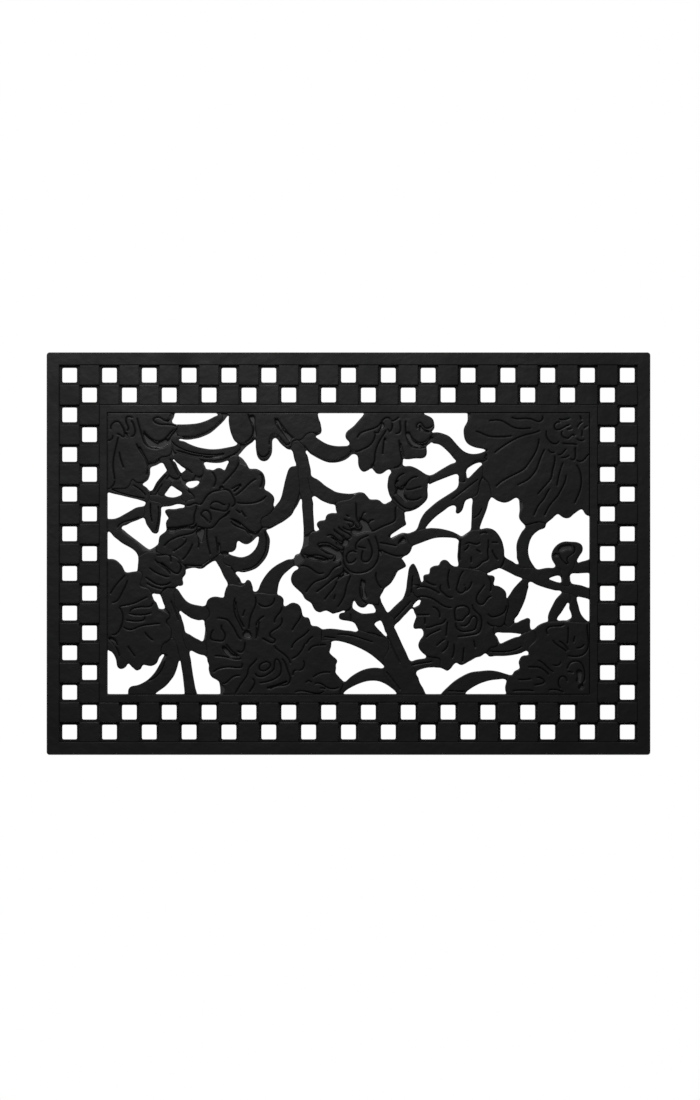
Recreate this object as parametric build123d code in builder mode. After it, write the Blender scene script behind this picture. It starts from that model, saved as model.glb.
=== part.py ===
"""Moulded rubber door mat: a checkered border of open windows and raised pads round a field of
openwork flowers, leaves and stems. Millimetres, origin at the centre of the underside, +X along
the mat, +Z up."""

from build123d import *
import os

# Whole mat and its border of square cells, two cells wide.
LENGTH = 914.4
WIDTH = 609.6
RIM_WIDTH = 19.3
CORNER_RADIUS = 4.5
COLUMNS = 29
ROWS = 19
BORDER_CELLS = 2
LEDGE_WIDTH = 3.5
WINDOW_RADIUS = 2.0
# Play round each cell, so that cells on a diagonal stay separate solids.
HAIRLINE = 0.02
FRAME_WIDTH = 12.0

# Heights of the top surfaces above the floor.
RIM_TOP = 9.5
FRAME_TOP = 9.0
PAD_TOP = 8.5
LEDGE_TOP = 4.5
WEB_TOP = 4.5
FLOWER_TOP = 9.5
LEAF_TOP = 8.0
STEM_TOP = 7.5

# Small moulded detail.
RIM_BEVEL = 1.2
PAD_BEVEL = 0.8
GROOVE_WIDTH = 2.2
GROOVE_DEPTH = 2.6
SMALLEST_PATCH = 14.0

PITCH_X = (LENGTH - 2 * RIM_WIDTH) / COLUMNS
PITCH_Y = (WIDTH - 2 * RIM_WIDTH) / ROWS
FRAME_X = (COLUMNS - 2 * BORDER_CELLS) * PITCH_X
FRAME_Y = (ROWS - 2 * BORDER_CELLS) * PITCH_Y
FIELD_X = FRAME_X - 2 * FRAME_WIDTH
FIELD_Y = FRAME_Y - 2 * FRAME_WIDTH

# An outline is either one list of points, a smooth closed loop, or a list of runs that meet in
# corners: each run starts where the one before it ends, and two points make a straight line.

# The gaps of the field, which are open from top to bottom.
OPENINGS = {
    "throat": [
        (-312.3, 106), (-308, 109), (-304, 112.5), (-302.5, 116), (-301, 122), (-300.2, 130.5),
        (-296, 132.8), (-291, 134.5), (-286, 137.3), (-283, 138), (-280.5, 137), (-277.5, 131.5),
        (-275, 126.5), (-279, 121), (-284.5, 115), (-289.5, 109), (-293.5, 102), (-297, 96),
        (-299.5, 94.6), (-302.5, 95.5), (-306, 99.5),
    ],
    "west_high": [
        [(-370, 93.5), (-362, 93)],
        [
            (-355, 91), (-345, 88.8), (-335, 86.3), (-325, 84), (-317, 82), (-311, 80), (-307.3, 78),
            (-308.5, 73), (-316, 70.5), (-322, 69), (-330, 64.5), (-338, 60), (-346, 55.5), (-352, 53),
            (-360, 52),
        ],
        [(-370, 52)],
        [(-370, 93.5)],
    ],
    "west_mid": [
        (-344.3, 39), (-343, 41.5), (-338, 43.5), (-330, 47.5), (-322, 50.5), (-315, 53.5),
        (-311, 54.5), (-308.5, 53), (-307, 48.5), (-304, 42), (-300, 36.5), (-297, 32.5), (-294, 31),
        (-291, 31), (-288.8, 33), (-287.5, 38), (-286, 46), (-285, 55), (-284.3, 64), (-283.5, 70.5),
        (-280, 71.5), (-275, 72), (-268, 73), (-262, 75), (-257, 75.5), (-251, 74.5), (-247.3, 72),
        (-248.5, 70), (-254, 68.7), (-261, 67.3), (-268, 67), (-275, 66.5), (-277.5, 64.5),
        (-276.5, 61), (-274, 57), (-272.3, 53.5), (-274.5, 50.5), (-276, 46), (-275.5, 40),
        (-275.3, 36), (-281, 30), (-285.5, 26), (-287, 20), (-288.3, 14), (-291, 11.5), (-296, 8.5),
        (-301, 6), (-306, 8), (-312, 12.5), (-320, 18.8), (-328, 24.8), (-336, 31), (-342, 36),
    ],
    "fork": [
        (-267.5, 103), (-264, 101), (-259, 97.5), (-254, 94.5), (-251.7, 92), (-252.5, 89.5),
        (-256, 87.3), (-261, 85.5), (-266, 84.7), (-272, 85.3), (-277, 87), (-279, 89), (-276.5, 93.5),
        (-273, 98.5), (-270, 102),
    ],
    "sliver_a": [
        (-266.5, 142.7), (-265.5, 144), (-263, 141.5), (-258, 137), (-252, 132), (-246.5, 127.3),
        (-250, 123.7), (-253, 121.9), (-256.5, 125.5), (-260, 132), (-264, 139),
    ],
    "sliver_b": [
        (-247.3, 105), (-245, 108), (-240.5, 109.8), (-234, 110.5), (-227, 110.3), (-225.3, 108.8),
        (-226.5, 106), (-230, 102.5), (-234.5, 99.8), (-239, 99), (-243, 100.3), (-246, 103),
    ],
    "saddle": [
        (-219.8, 136.5), (-218.5, 138.5), (-213, 138.8), (-205, 137.8), (-197, 137.8), (-190, 139),
        (-185, 141), (-182, 141), (-181, 139.5), (-182.5, 135.5), (-185, 130), (-188.3, 126),
        (-191, 127.5), (-195, 129.2), (-199, 129), (-203, 126.7), (-206, 126), (-210, 127),
        (-214.5, 127.5), (-216.5, 129), (-218, 133),
    ],
    "hook_eye": [
        (-182.2, 1), (-181, 2.7), (-178, 2.6), (-174.5, 4), (-171.5, 7), (-170, 13), (-169, 18),
        (-167, 19.7), (-164, 18.5), (-160, 15.8), (-155.5, 14.3), (-151, 15.5), (-146.5, 18.5),
        (-142, 23), (-138.5, 26), (-136, 26.3), (-135.5, 22), (-136.5, 16.5), (-139.5, 9), (-144, 3),
        (-150, -2), (-157, -5), (-163, -6), (-170, -4.8), (-177, -2.8), (-181, -1),
    ],
    "keyhole": [
        (-297.5, -61), (-295.5, -60), (-290, -60.8), (-286, -61.3), (-284, -64), (-282, -69),
        (-279.5, -76), (-278, -82), (-279.5, -84), (-284, -84.3), (-287.5, -83.5), (-289.5, -79),
        (-291.5, -74.5), (-295, -71), (-297, -66),
    ],
    "west_low": [
        [(-370, 34), (-362.8, 33.7)],
        [
            (-361, 32.8), (-356, 27), (-350, 22), (-343, 16.5), (-335, 12), (-328, 8), (-323, 4),
            (-320, 0), (-318.3, -5), (-318, -12), (-318.7, -19), (-320.3, -25.7), (-325, -27),
            (-331, -28.6), (-335, -29), (-338.5, -28), (-341, -24), (-343.5, -19), (-347, -15),
            (-351.5, -11), (-356, -9), (-362, -8.7),
        ],
        [(-370, -8.7)],
        [(-370, 34)],
    ],
    "north_a": [
        [
            (-264, 218), (-264, 211.5), (-265.5, 206), (-268, 200), (-266, 197.3), (-261.5, 195.7),
            (-256, 195.3), (-250, 195.3), (-240, 195.8), (-230, 196.8), (-220, 199.3), (-213, 202),
            (-207, 205), (-201, 208), (-197.5, 210), (-199, 212.5), (-200, 218),
        ],
        [(-264, 218)],
    ],
    "north_b": [
        (-257.5, 173), (-255.5, 174.2), (-250, 173.5), (-240, 173.3), (-233, 174.5), (-226, 176),
        (-219, 178.7), (-211, 182.3), (-204, 187.5), (-198, 193), (-192, 198.5), (-187, 204.5),
        (-183.5, 209), (-181.5, 210), (-180.8, 206), (-181, 201), (-180, 193), (-178, 184), (-175, 176),
        (-171.5, 170.5), (-168, 166.3), (-171, 163.5), (-177, 161.7), (-184, 160.3), (-192, 158.8),
        (-201, 157.8), (-210, 157.8), (-219, 159), (-228, 160.8), (-236, 163.5), (-244, 167),
        (-251, 170),
    ],
    "north_c": [
        (-167.2, 149.5), (-163, 153.5), (-159, 158.5), (-154, 163.5), (-149, 167), (-145.5, 169.5),
        (-142.5, 173), (-141, 173.8), (-140.3, 172), (-140, 163), (-139, 153), (-137.5, 147),
        (-134, 142.5), (-129, 140.3), (-123, 142), (-119, 147), (-117, 151), (-116, 158), (-116, 167),
        (-114.8, 173.5), (-111.5, 175.7), (-108.5, 174.5), (-105, 170), (-100.5, 165), (-95, 160.5),
        (-91, 158.3), (-86.5, 157.5), (-84.5, 155), (-82.5, 147), (-80.5, 140), (-79, 134.5),
        (-79.8, 132.5), (-83, 132), (-87, 131), (-90.5, 127), (-93, 120), (-95.5, 111), (-97.5, 102),
        (-99.5, 93), (-102, 84), (-106, 77), (-110, 72.5), (-112.7, 70.3), (-114, 73), (-113.3, 78),
        (-113, 84), (-114.5, 87.5), (-118, 91), (-122, 94), (-127, 97), (-128, 99.5), (-127, 104),
        (-126.7, 112), (-128, 118), (-130.5, 122.5), (-135, 126), (-140, 128), (-146, 128),
        (-150.5, 128.7), (-152.5, 131.5), (-155, 136.5), (-159, 141.5), (-163, 145.5),
    ],
    "heart": [
        (-72, 85.7), (-74.5, 80.5), (-78, 73), (-82, 67), (-86, 59.5), (-92, 54), (-99, 49),
        (-107, 44.5), (-115, 40), (-121, 37.5), (-124.7, 36.3), (-123.5, 31.5), (-121, 26.5),
        (-119.5, 20), (-120, 13), (-121, 6), (-123.5, -2), (-127.5, -9), (-133, -15.5), (-139, -21),
        (-146, -24.5), (-154, -27), (-162, -27.7), (-168, -26.8), (-171.2, -28), (-167.5, -35),
        (-164, -40.5), (-161.5, -45), (-159.5, -45.3), (-156, -42), (-152, -40.3), (-149, -42),
        (-147, -46.5), (-145.5, -52), (-145, -56), (-142.5, -58), (-139.5, -57.7), (-136.5, -55),
        (-134, -49), (-130.5, -41.5), (-125, -33), (-119, -26), (-112, -20), (-104, -15), (-97, -11.5),
        (-90, -9), (-84, -8.3), (-82, -6.5), (-81, -3.5), (-78.5, -1.3), (-74, 0), (-72.5, 3),
        (-70.5, 8), (-69, 13), (-68, 20), (-67.8, 28), (-67.5, 35), (-68, 45), (-69, 60), (-70, 74),
        (-71, 84),
    ],
    "centre_west": [
        (-80, -18), (-77, -19.5), (-75.3, -22.3), (-77, -24), (-81, -26.5), (-84.5, -30.5),
        (-86.5, -36), (-86, -43), (-83.5, -47.5), (-78, -53), (-73, -57.5), (-69, -62), (-66.5, -67),
        (-61, -71.5), (-56, -75), (-53.5, -80), (-50.5, -85), (-47, -87.5), (-42, -88.5), (-38, -87.5),
        (-34, -86), (-31, -86.8), (-28, -89.5), (-24, -90.7), (-20, -89.8), (-15, -88.5), (-11, -87),
        (-7, -85.8), (-5, -86.5), (-5, -88.5), (-8, -90), (-12.5, -91.2), (-14, -94), (-13.5, -98),
        (-10, -100), (-4, -101), (2, -102), (8, -104), (11, -107), (13.5, -112), (15, -116),
        (13, -118.2), (5, -117.8), (-5, -116.8), (-15, -115.3), (-25, -114.3), (-33, -114.5),
        (-40, -114.8), (-44, -112.5), (-48, -110.5), (-54, -109.9), (-56.7, -108.5), (-58, -105),
        (-59.5, -100), (-61.5, -97.3), (-66, -96.8), (-69.5, -94), (-71, -88), (-72.5, -82.5),
        (-76, -77.5), (-80, -75.5), (-85, -74.8), (-90, -77), (-94, -79.5), (-97.5, -80), (-99, -77),
        (-98.7, -70.5), (-101, -66), (-104, -64), (-107.3, -62.5), (-107.7, -55), (-106.5, -47),
        (-103.5, -39), (-98.5, -31.5), (-92, -25.5), (-86, -20.5), (-82, -18.3),
    ],
    "south_w": [
        (-246.5, -23.5), (-241, -22), (-235, -21), (-230, -21.5), (-225, -22.8), (-220, -21.5),
        (-215, -17.5), (-209, -13.5), (-204, -10.8), (-201.5, -10.7), (-199, -14), (-195, -20.5),
        (-191, -29), (-187, -37), (-182.7, -45.5), (-182.7, -48), (-186, -53.5), (-187.5, -60),
        (-188.5, -66), (-200, -65.7), (-207, -66.5), (-212, -69.5), (-214.5, -74), (-216, -78),
        (-219, -79.8), (-226, -79.3), (-235, -77.5), (-243, -74.3), (-249, -69), (-254, -62),
        (-258, -56), (-260.5, -50.5), (-259.3, -48.8), (-255, -48.5), (-251.7, -47.3), (-251, -44),
        (-252, -39), (-251.5, -36.5), (-248.5, -32.5), (-247, -27),
    ],
    "south_x": [
        (-256.5, -87.5), (-255.3, -86.3), (-252, -88), (-248, -91), (-243, -94.5), (-238, -97.5),
        (-232, -99.5), (-225, -100.5), (-220, -100.2), (-218.3, -102), (-218, -106), (-217, -112),
        (-217, -118), (-218, -125), (-219, -130), (-220.7, -133), (-222.5, -133.3), (-226, -131.5),
        (-231, -129), (-237, -125.5), (-243, -122), (-246.5, -120.3), (-248.3, -117), (-249.5, -111),
        (-251, -105), (-253, -99), (-255, -93),
    ],
    "south_y": [
        [
            (-229.5, -218), (-230, -212.5), (-232.5, -204), (-234, -196), (-235.5, -188), (-237, -178),
            (-238.5, -168), (-240, -158), (-241, -148.8), (-239.8, -147), (-237.5, -146.8),
            (-235, -147.8), (-231, -150), (-226, -152), (-220, -153.5), (-217, -154.5), (-215.5, -157),
            (-214.5, -161), (-212, -165.5), (-211, -170), (-211.5, -175), (-211, -180), (-209, -184),
            (-205, -188), (-200, -190.5), (-196.5, -193.5), (-195, -198), (-194, -205), (-194, -218),
        ],
        [(-229.5, -218)],
    ],
    "south_z": [
        [(-370, -147.5), (-363, -147)],
        [
            (-361, -147.2), (-358, -149), (-355, -153), (-352.5, -158), (-351, -164), (-350, -170),
            (-348, -173), (-345, -174.3), (-341, -173.5), (-337, -170), (-335, -167), (-333.5, -166.3),
            (-331, -167.5), (-328, -171), (-325, -173.5), (-321, -176.5), (-318, -176), (-315, -174),
            (-313, -170), (-311, -168.3), (-307, -168.5), (-300, -169.8), (-295, -168.5),
            (-291, -165.5), (-288.5, -160), (-286.5, -156), (-283, -153), (-280.5, -151.7),
            (-279.3, -153), (-281, -158), (-284, -164), (-288, -172), (-293, -180), (-299, -187),
            (-306, -193), (-314, -197.5), (-322, -200.3), (-330, -202.2), (-332.5, -205),
            (-333.5, -211), (-334, -218),
        ],
        [(-370, -218)],
        [(-370, -147.5)],
    ],
    "south_v": [
        [
            (-293, -218), (-292.5, -211.5), (-290, -209.5), (-285, -206), (-280, -202.5), (-275, -198),
            (-270, -192), (-265, -185), (-262, -178), (-260, -172), (-258.5, -166), (-257, -162.3),
            (-255.7, -161.3), (-254.3, -163), (-253.3, -168), (-252, -176), (-250.5, -186),
            (-249.5, -195), (-248.5, -204), (-248, -218),
        ],
        [(-293, -218)],
    ],
    "north_d": [
        [
            (-47, 218), (-46.8, 212), (-46, 206), (-43, 198), (-41.5, 190), (-41.5, 184),
            (-43.5, 181.5), (-48, 179.5), (-50, 177.8), (-46, 173.5), (-40, 169.5), (-32, 165.5),
            (-24, 163.3), (-15, 162.3), (-6, 162.5), (0, 163.7), (1.7, 166), (1, 170), (-2, 173),
            (-4, 177), (-3.5, 182), (0, 186.5), (6, 191), (12, 197), (18, 204), (23, 210), (24.5, 218),
        ],
        [(-47, 218)],
    ],
    "north_e": [
        (-64.7, 156), (-63, 157), (-60, 154), (-55, 150), (-48, 146), (-40, 142), (-32, 139),
        (-25, 138.2), (-17, 138.7), (-8, 141.3), (0, 146), (5, 150.5), (9, 151.2), (13, 149.5),
        (14.7, 146), (15, 138), (16.5, 131), (19, 127), (23, 124.5), (28, 126), (34, 128), (38, 127),
        (41, 123.5), (45, 121.3), (51, 122), (56, 125.5), (60, 127.7), (64, 126.5), (65, 123),
        (62, 118), (60.3, 111), (59.5, 102), (61, 94), (63.5, 87), (66, 81.5), (60, 77), (55, 74.8),
        (51.5, 76), (47, 80), (43, 81.5), (36, 81.5), (31.5, 82.5), (28, 87), (24, 91), (19, 92.5),
        (12, 92), (5, 90.5), (-3, 90.5), (-12, 91.5), (-20, 93.5), (-28, 98), (-36, 103), (-43, 109),
        (-49, 113), (-54, 115.5), (-56.5, 118), (-57.5, 125), (-59, 133), (-61, 142), (-63.5, 150),
    ],
    "pocket": [
        (-54.5, 86.5), (-51.5, 87.5), (-46, 84.5), (-40, 80.5), (-33, 77.5), (-26, 75.3), (-20.5, 74),
        (-19, 70), (-18.7, 66), (-17, 61.5), (-22, 61), (-28, 60.5), (-32, 58.5), (-34, 54.5),
        (-35, 51), (-38, 50), (-43, 49.3), (-46.5, 47), (-47.5, 43), (-45.5, 39), (-46, 35.5),
        (-48.5, 33.5), (-51, 34.5), (-52.5, 40), (-53, 50), (-53.7, 60), (-54, 70), (-54.7, 80),
    ],
    "east_a": [
        (62.7, 24.5), (64, 28), (70, 33), (76, 37), (82, 41), (87, 44.8), (85.5, 50), (85, 57),
        (84.7, 62.5), (91, 64.3), (98, 66.2), (104, 69), (109, 72.5), (115, 78), (118.7, 83),
        (119.5, 92), (119.5, 100), (121.5, 104), (126, 107), (134, 110.5), (143, 114), (152, 117.5),
        (160, 120.3), (165, 120.7), (166.8, 119), (167.3, 112), (167, 104), (165, 99.5), (158, 93.5),
        (150, 88.3), (140, 82), (131, 75.5), (124, 69.5), (117, 63), (111.5, 55), (107.5, 46),
        (104.5, 38), (102, 35), (96, 32), (89, 30.3), (83, 31.3), (78, 30), (72, 27), (67, 24.5),
        (64, 23.2),
    ],
    "north_f": [
        (82, 139), (84.5, 143.3), (90, 143.5), (98, 144.5), (106, 144.8), (113, 145.3), (116, 147),
        (118, 151), (118, 158), (118, 162.5), (120, 165), (124, 167.3), (130, 167.3), (137, 166),
        (144, 161.5), (150, 156), (156, 149.5), (161, 143.5), (163.5, 140), (162.5, 138.3), (157, 136),
        (150, 132.5), (143, 128.5), (135, 123.5), (128, 119.5), (123, 118.3), (118, 119.5), (112, 123),
        (106, 127), (99, 130.5), (91, 132.3), (84, 132.5), (82.3, 134),
    ],
    "north_g": [
        [
            (111, 218), (113.5, 212), (118, 209.3), (124, 206.5), (128, 202.5), (129.5, 196),
            (129, 189), (125, 183.5), (132, 183.3), (139, 182.7), (146, 180.5), (151.5, 178),
            (157, 173), (163, 166), (169, 159.5), (175, 154.5), (182, 151.5), (190, 150.5),
            (198, 151.5), (204, 153.5), (208.3, 156.5), (203, 159.3), (196, 160.5), (189, 162.5),
            (183, 165.5), (178.5, 170), (176, 176), (175, 183), (175.5, 190), (178.5, 196),
            (180.5, 200), (181, 207), (182.5, 218),
        ],
        [(111, 218)],
    ],
    "east_b": [
        (178.5, 120), (178.3, 125), (180, 129), (184.5, 132.5), (190, 135.8), (196, 138), (201, 138.2),
        (203, 136), (200, 132), (194, 126), (188, 120), (183, 115), (180.5, 114), (179, 116),
    ],
    "east_c": [
        (116.3, 38.5), (118.5, 42), (123, 47.5), (130, 54.5), (137, 60.3), (145, 66), (152, 71.3),
        (157, 73.3), (161, 73.3), (163, 71.5), (163.3, 66), (163.5, 62), (165.5, 61), (168.5, 62.3),
        (171.5, 65.5), (173.5, 70), (175.3, 76.5), (178, 81.3), (182, 83.3), (187, 84.3), (188.3, 82),
        (188, 75), (187.3, 65), (187, 53), (186.5, 43), (185.5, 36), (182, 32.5), (177.5, 29.5),
        (173.5, 26.7), (171, 26), (168, 27.5), (163, 30.3), (156, 33.2), (147, 35.7), (138, 37.5),
        (129, 38.2), (122, 38),
    ],
    "east_d": [
        (214.5, 83.5), (217, 85.7), (220, 84.5), (225, 81), (230, 79), (236, 77.7), (241, 78.5),
        (247, 81.5), (251, 84), (255, 85), (258.5, 82), (259.5, 76), (259.5, 62), (259, 55),
        (261, 50.5), (265, 46), (268.5, 41), (264.5, 34.5), (260, 27), (256.5, 19), (255, 8),
        (255.5, 0), (256, -8), (258, -13), (258.3, -15.5), (256, -16.5), (250, -13.5), (243, -9.5),
        (238, -6.5), (236, -4), (235.5, 2), (234.5, 10), (232.5, 18), (228.5, 26), (224, 32), (219, 36),
        (213, 38), (207, 38), (199, 37.2), (200, 44), (203, 52), (207, 62), (209.5, 69), (211, 75),
        (213, 81),
    ],
    "east_e": [
        [
            (370, 57.5), (365, 57.5), (360, 59.5), (357, 64), (354, 67.5), (349, 66), (344, 62.5),
            (339, 58.5), (335, 55), (330, 54), (325, 55.5), (321, 58.5), (317.5, 60.3), (315, 59.5),
            (311, 56), (306, 51.5), (301, 47.5), (298.5, 43), (297.5, 40), (291, 37), (285, 33.5),
            (280, 29), (276, 23), (273.5, 16), (272, 8), (272, 1), (273.5, -6), (276.5, -13),
            (280.5, -19), (285, -23.7), (295, -23), (305, -22), (312.5, -21), (314, -19), (312.5, -15),
            (309.5, -10), (308, -4), (309, 2), (312.5, 8.5), (318, 14), (324, 17), (330, 18),
            (337, 17.5), (345, 17), (350.5, 15), (353.5, 12), (354.5, 7), (353.5, 2.5), (350, -2.5),
            (347, -8), (346, -12), (348, -14), (352, -13), (358, -11.5), (364, -9.5), (370, -8.5),
        ],
        [(370, 57.5)],
    ],
    "east_f": [
        (303, -37.5), (307, -35.5), (313, -33.5), (319, -33), (321.5, -34.5), (323, -40),
        (322.7, -43.8), (320, -44.3), (314, -43), (307, -40.5), (304, -39),
    ],
    "east_g": [
        [
            (370, -29), (355, -29), (345, -29.5), (338, -30), (335.8, -32), (335.5, -36), (336, -41),
            (338, -45.3), (342, -46.8), (350, -48), (357, -50), (364, -52.5), (370, -53),
        ],
        [(370, -29)],
    ],
    "east_h": [
        (209.5, -31), (211, -29.5), (216, -27.5), (222, -24.5), (228, -21.8), (234, -23.5),
        (240, -26.5), (248, -30.5), (255, -34), (261, -36), (264, -38.5), (261.5, -41.5), (257, -46),
        (252, -51.5), (248, -57), (245, -62), (242, -66.5), (240.3, -69), (239, -67), (238.8, -62),
        (237, -57), (233, -53), (228.5, -50.3), (224, -49), (220.3, -48.3), (219.5, -46), (220.5, -41),
        (221, -36.5), (219.5, -34.3), (215, -33.3), (211, -32.5),
    ],
    "east_i": [
        (167, 20.5), (164, 22.8), (160, 24), (152, 24.8), (143, 25), (134, 24.5), (126, 22.8),
        (118, 20), (110, 17), (102, 14), (97, 11.5), (95, 7), (92.5, 2), (88, -2), (83, -4.5),
        (81.5, -7), (83, -11), (86, -16), (86.7, -18.5), (84, -21), (79, -23.5), (74.5, -26.5),
        (72, -31), (69, -37), (65.5, -42.5), (60, -48), (56, -51), (54, -53), (52, -57), (49.5, -62),
        (48.5, -67.5), (49, -72), (51, -76.5), (54, -82), (57, -87.5), (59, -89.5), (61, -89),
        (66, -84.5), (72, -78.5), (78, -73), (82.5, -68.5), (85, -63), (87.5, -55), (89, -43),
        (90.5, -32), (92.5, -21.5), (95, -17.5), (98, -15.5), (101, -18.5), (104.5, -26), (107.5, -35),
        (109.5, -42), (111, -43.8), (113, -42.5), (114, -38), (114, -34), (117, -32), (122, -31),
        (123.5, -28), (124, -23), (127.5, -20), (133, -18.5), (137, -17.8), (139, -14), (142, -10.7),
        (146, -9.8), (150, -11.5), (153.5, -15.5), (158, -18.8), (163, -20), (166.3, -19), (167, -15),
        (165.8, -8), (165.8, 0), (166.5, 8), (167, 15),
    ],
    "bead": [
        (109.3, -70), (105, -70.3), (101, -74), (97.5, -78.5), (97.2, -81.5), (100, -81.8), (104, -80),
        (108, -77.5), (109.3, -74),
    ],
    "south_a": [
        (69, -110.5), (70.5, -107.5), (75, -103.5), (80, -98.5), (84, -94), (88, -90), (93, -84.5),
        (96, -82.9), (98.5, -84), (100, -88), (101.8, -95), (101, -102), (99, -108), (99.3, -112.5),
        (107, -113.3), (112, -114.5), (113.8, -119), (113.3, -125), (110, -129.5), (107.5, -134),
        (106.3, -139), (108, -144.5), (111.5, -149), (115.5, -152.5), (118.2, -156), (117, -158.5),
        (113, -159.7), (107, -160.5), (101, -161.8), (95, -163.3), (92.3, -161.5), (90, -157.5),
        (86, -148), (82, -140), (78, -131), (74, -122.5), (70.5, -115),
    ],
    "south_b": [
        (39, -107), (41, -104), (45, -102), (49, -101.3), (51, -103.5), (53, -110), (56, -118),
        (58.7, -124), (57.5, -126), (55, -125), (50, -120), (45, -114), (41, -110),
    ],
    "smile": [
        (9, -70.7), (11, -73.5), (14, -78), (18, -80.8), (23, -81.3), (26.5, -79.5), (29, -76.5),
        (33, -76.3), (37, -77.3), (39.5, -81), (41.8, -86.5), (40.5, -89.3), (36, -90.5), (28, -91.3),
        (20, -91), (14, -88.5), (9, -85.5), (6, -82.5), (6, -77), (7, -72.5),
    ],
    "south_c": [
        (-25.5, -133), (-22, -131.8), (-15, -132), (-8, -133.5), (0, -135.8), (8, -138.8), (16, -142.3),
        (24, -146.3), (32, -151), (40, -157), (47, -163), (53, -168.8), (54.5, -172), (52, -174),
        (46, -173.8), (38, -173.5), (30, -174.5), (22, -176.8), (14, -180.5), (6, -185.5), (0, -190.5),
        (-4, -194), (-7, -194.5), (-10, -192), (-14, -187.5), (-18, -183.5), (-20, -180), (-19.3, -173),
        (-19.5, -168), (-17.5, -163.5), (-19, -160), (-22, -157.5), (-26, -154), (-29, -150),
        (-27.5, -143), (-26.5, -137),
    ],
    "arch": [
        [
            (-8, -218), (-7.5, -211), (-1, -205), (7, -200.5), (16, -196.5), (26, -193.3), (36, -192),
            (46, -193), (56, -197), (65, -203), (72, -209.5), (75, -218),
        ],
        [(-8, -218)],
    ],
    "south_d": [
        [
            (116.5, -218), (116, -212), (113, -205), (109.5, -197), (106, -189), (102.3, -180.5),
            (104, -177.5), (110, -175), (117, -173), (125, -172.2), (134, -172.2), (141, -173.2),
            (146, -175.5), (149.5, -177), (153, -175), (157, -171), (160.5, -166.5), (163, -165),
            (167, -166.8), (171, -168.3), (174.5, -167.3), (179, -165), (185, -162), (190, -159),
            (194, -157), (199, -156), (202, -154.5), (205, -151.5), (208, -151), (210.5, -152.5),
            (213, -155), (220, -155), (230, -154.7), (240, -154.3), (250, -153), (258, -151.3),
            (264, -149), (269, -147), (272, -148), (273.3, -151), (272.5, -153.8), (268, -154.7),
            (262, -156.8), (260, -160), (258.5, -165), (259.5, -170), (259.5, -174), (256, -176.5),
            (251.5, -179), (249.5, -182.5), (247, -184.5), (243, -184), (236, -182), (228, -179.5),
            (220, -178), (211, -177.5), (200, -178.5), (190, -179.5), (181, -182), (172, -186.5),
            (163, -192), (155, -198.5), (147, -206), (141, -212.5), (138, -218),
        ],
        [(116.5, -218)],
    ],
    "south_e": [
        [
            (177, -218), (177.5, -210.5), (183, -205.5), (190, -201), (199, -196.5), (208, -193.3),
            (218, -191), (228, -190), (236, -189.7), (239.3, -191.5), (238.5, -199), (238, -206),
            (239.5, -212), (239.5, -218),
        ],
        [(177, -218)],
    ],
    "south_f": [
        (222, -121), (224, -119.5), (232, -119.3), (242, -119.5), (251, -120), (258, -121), (262, -123),
        (260.5, -125), (254, -127), (246, -130), (239, -133), (233, -136), (230, -136.5), (228, -134),
        (226.5, -130), (224, -125.5),
    ],
    "south_g": [
        (272, -47), (273, -43.5), (276, -42.3), (282, -45), (290, -48.5), (299, -51.5), (308, -54),
        (316, -55.5), (321, -56), (323.5, -58.5), (322, -61.5), (318, -65.5), (314, -70.5), (309, -80),
        (305.5, -87), (303.3, -93), (302.8, -99), (302.3, -103), (300, -104), (294, -106), (288, -109),
        (283.5, -113), (280, -115.3), (276.5, -115), (275, -112), (274.8, -104), (274.5, -99.5),
        (272, -98), (267, -99.5), (260, -102.5), (254, -105), (251.3, -103), (251.3, -99.5),
        (255, -94.5), (259.5, -87), (263.5, -78.5), (267, -70), (269, -63), (271, -55),
    ],
    "south_h": [
        (315.5, -98.5), (317, -95.5), (321, -90.5), (325.5, -83.5), (329.5, -77), (332.5, -74),
        (334.8, -75.5), (335, -81), (336.5, -88), (338.7, -95), (338, -97.5), (335, -99.5),
        (332, -101.3), (325, -101.5), (317, -101.2),
    ],
    "south_i": [
        [
            (370, -69.5), (366, -69.3), (362, -67.8), (356, -66.3), (349, -65), (346.3, -65.5),
            (345.5, -68.5), (346, -72), (348, -79), (350, -87), (353, -93.5), (357, -98.5), (361, -102),
            (370, -102.3),
        ],
        [(370, -69.5)],
    ],
}

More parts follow.
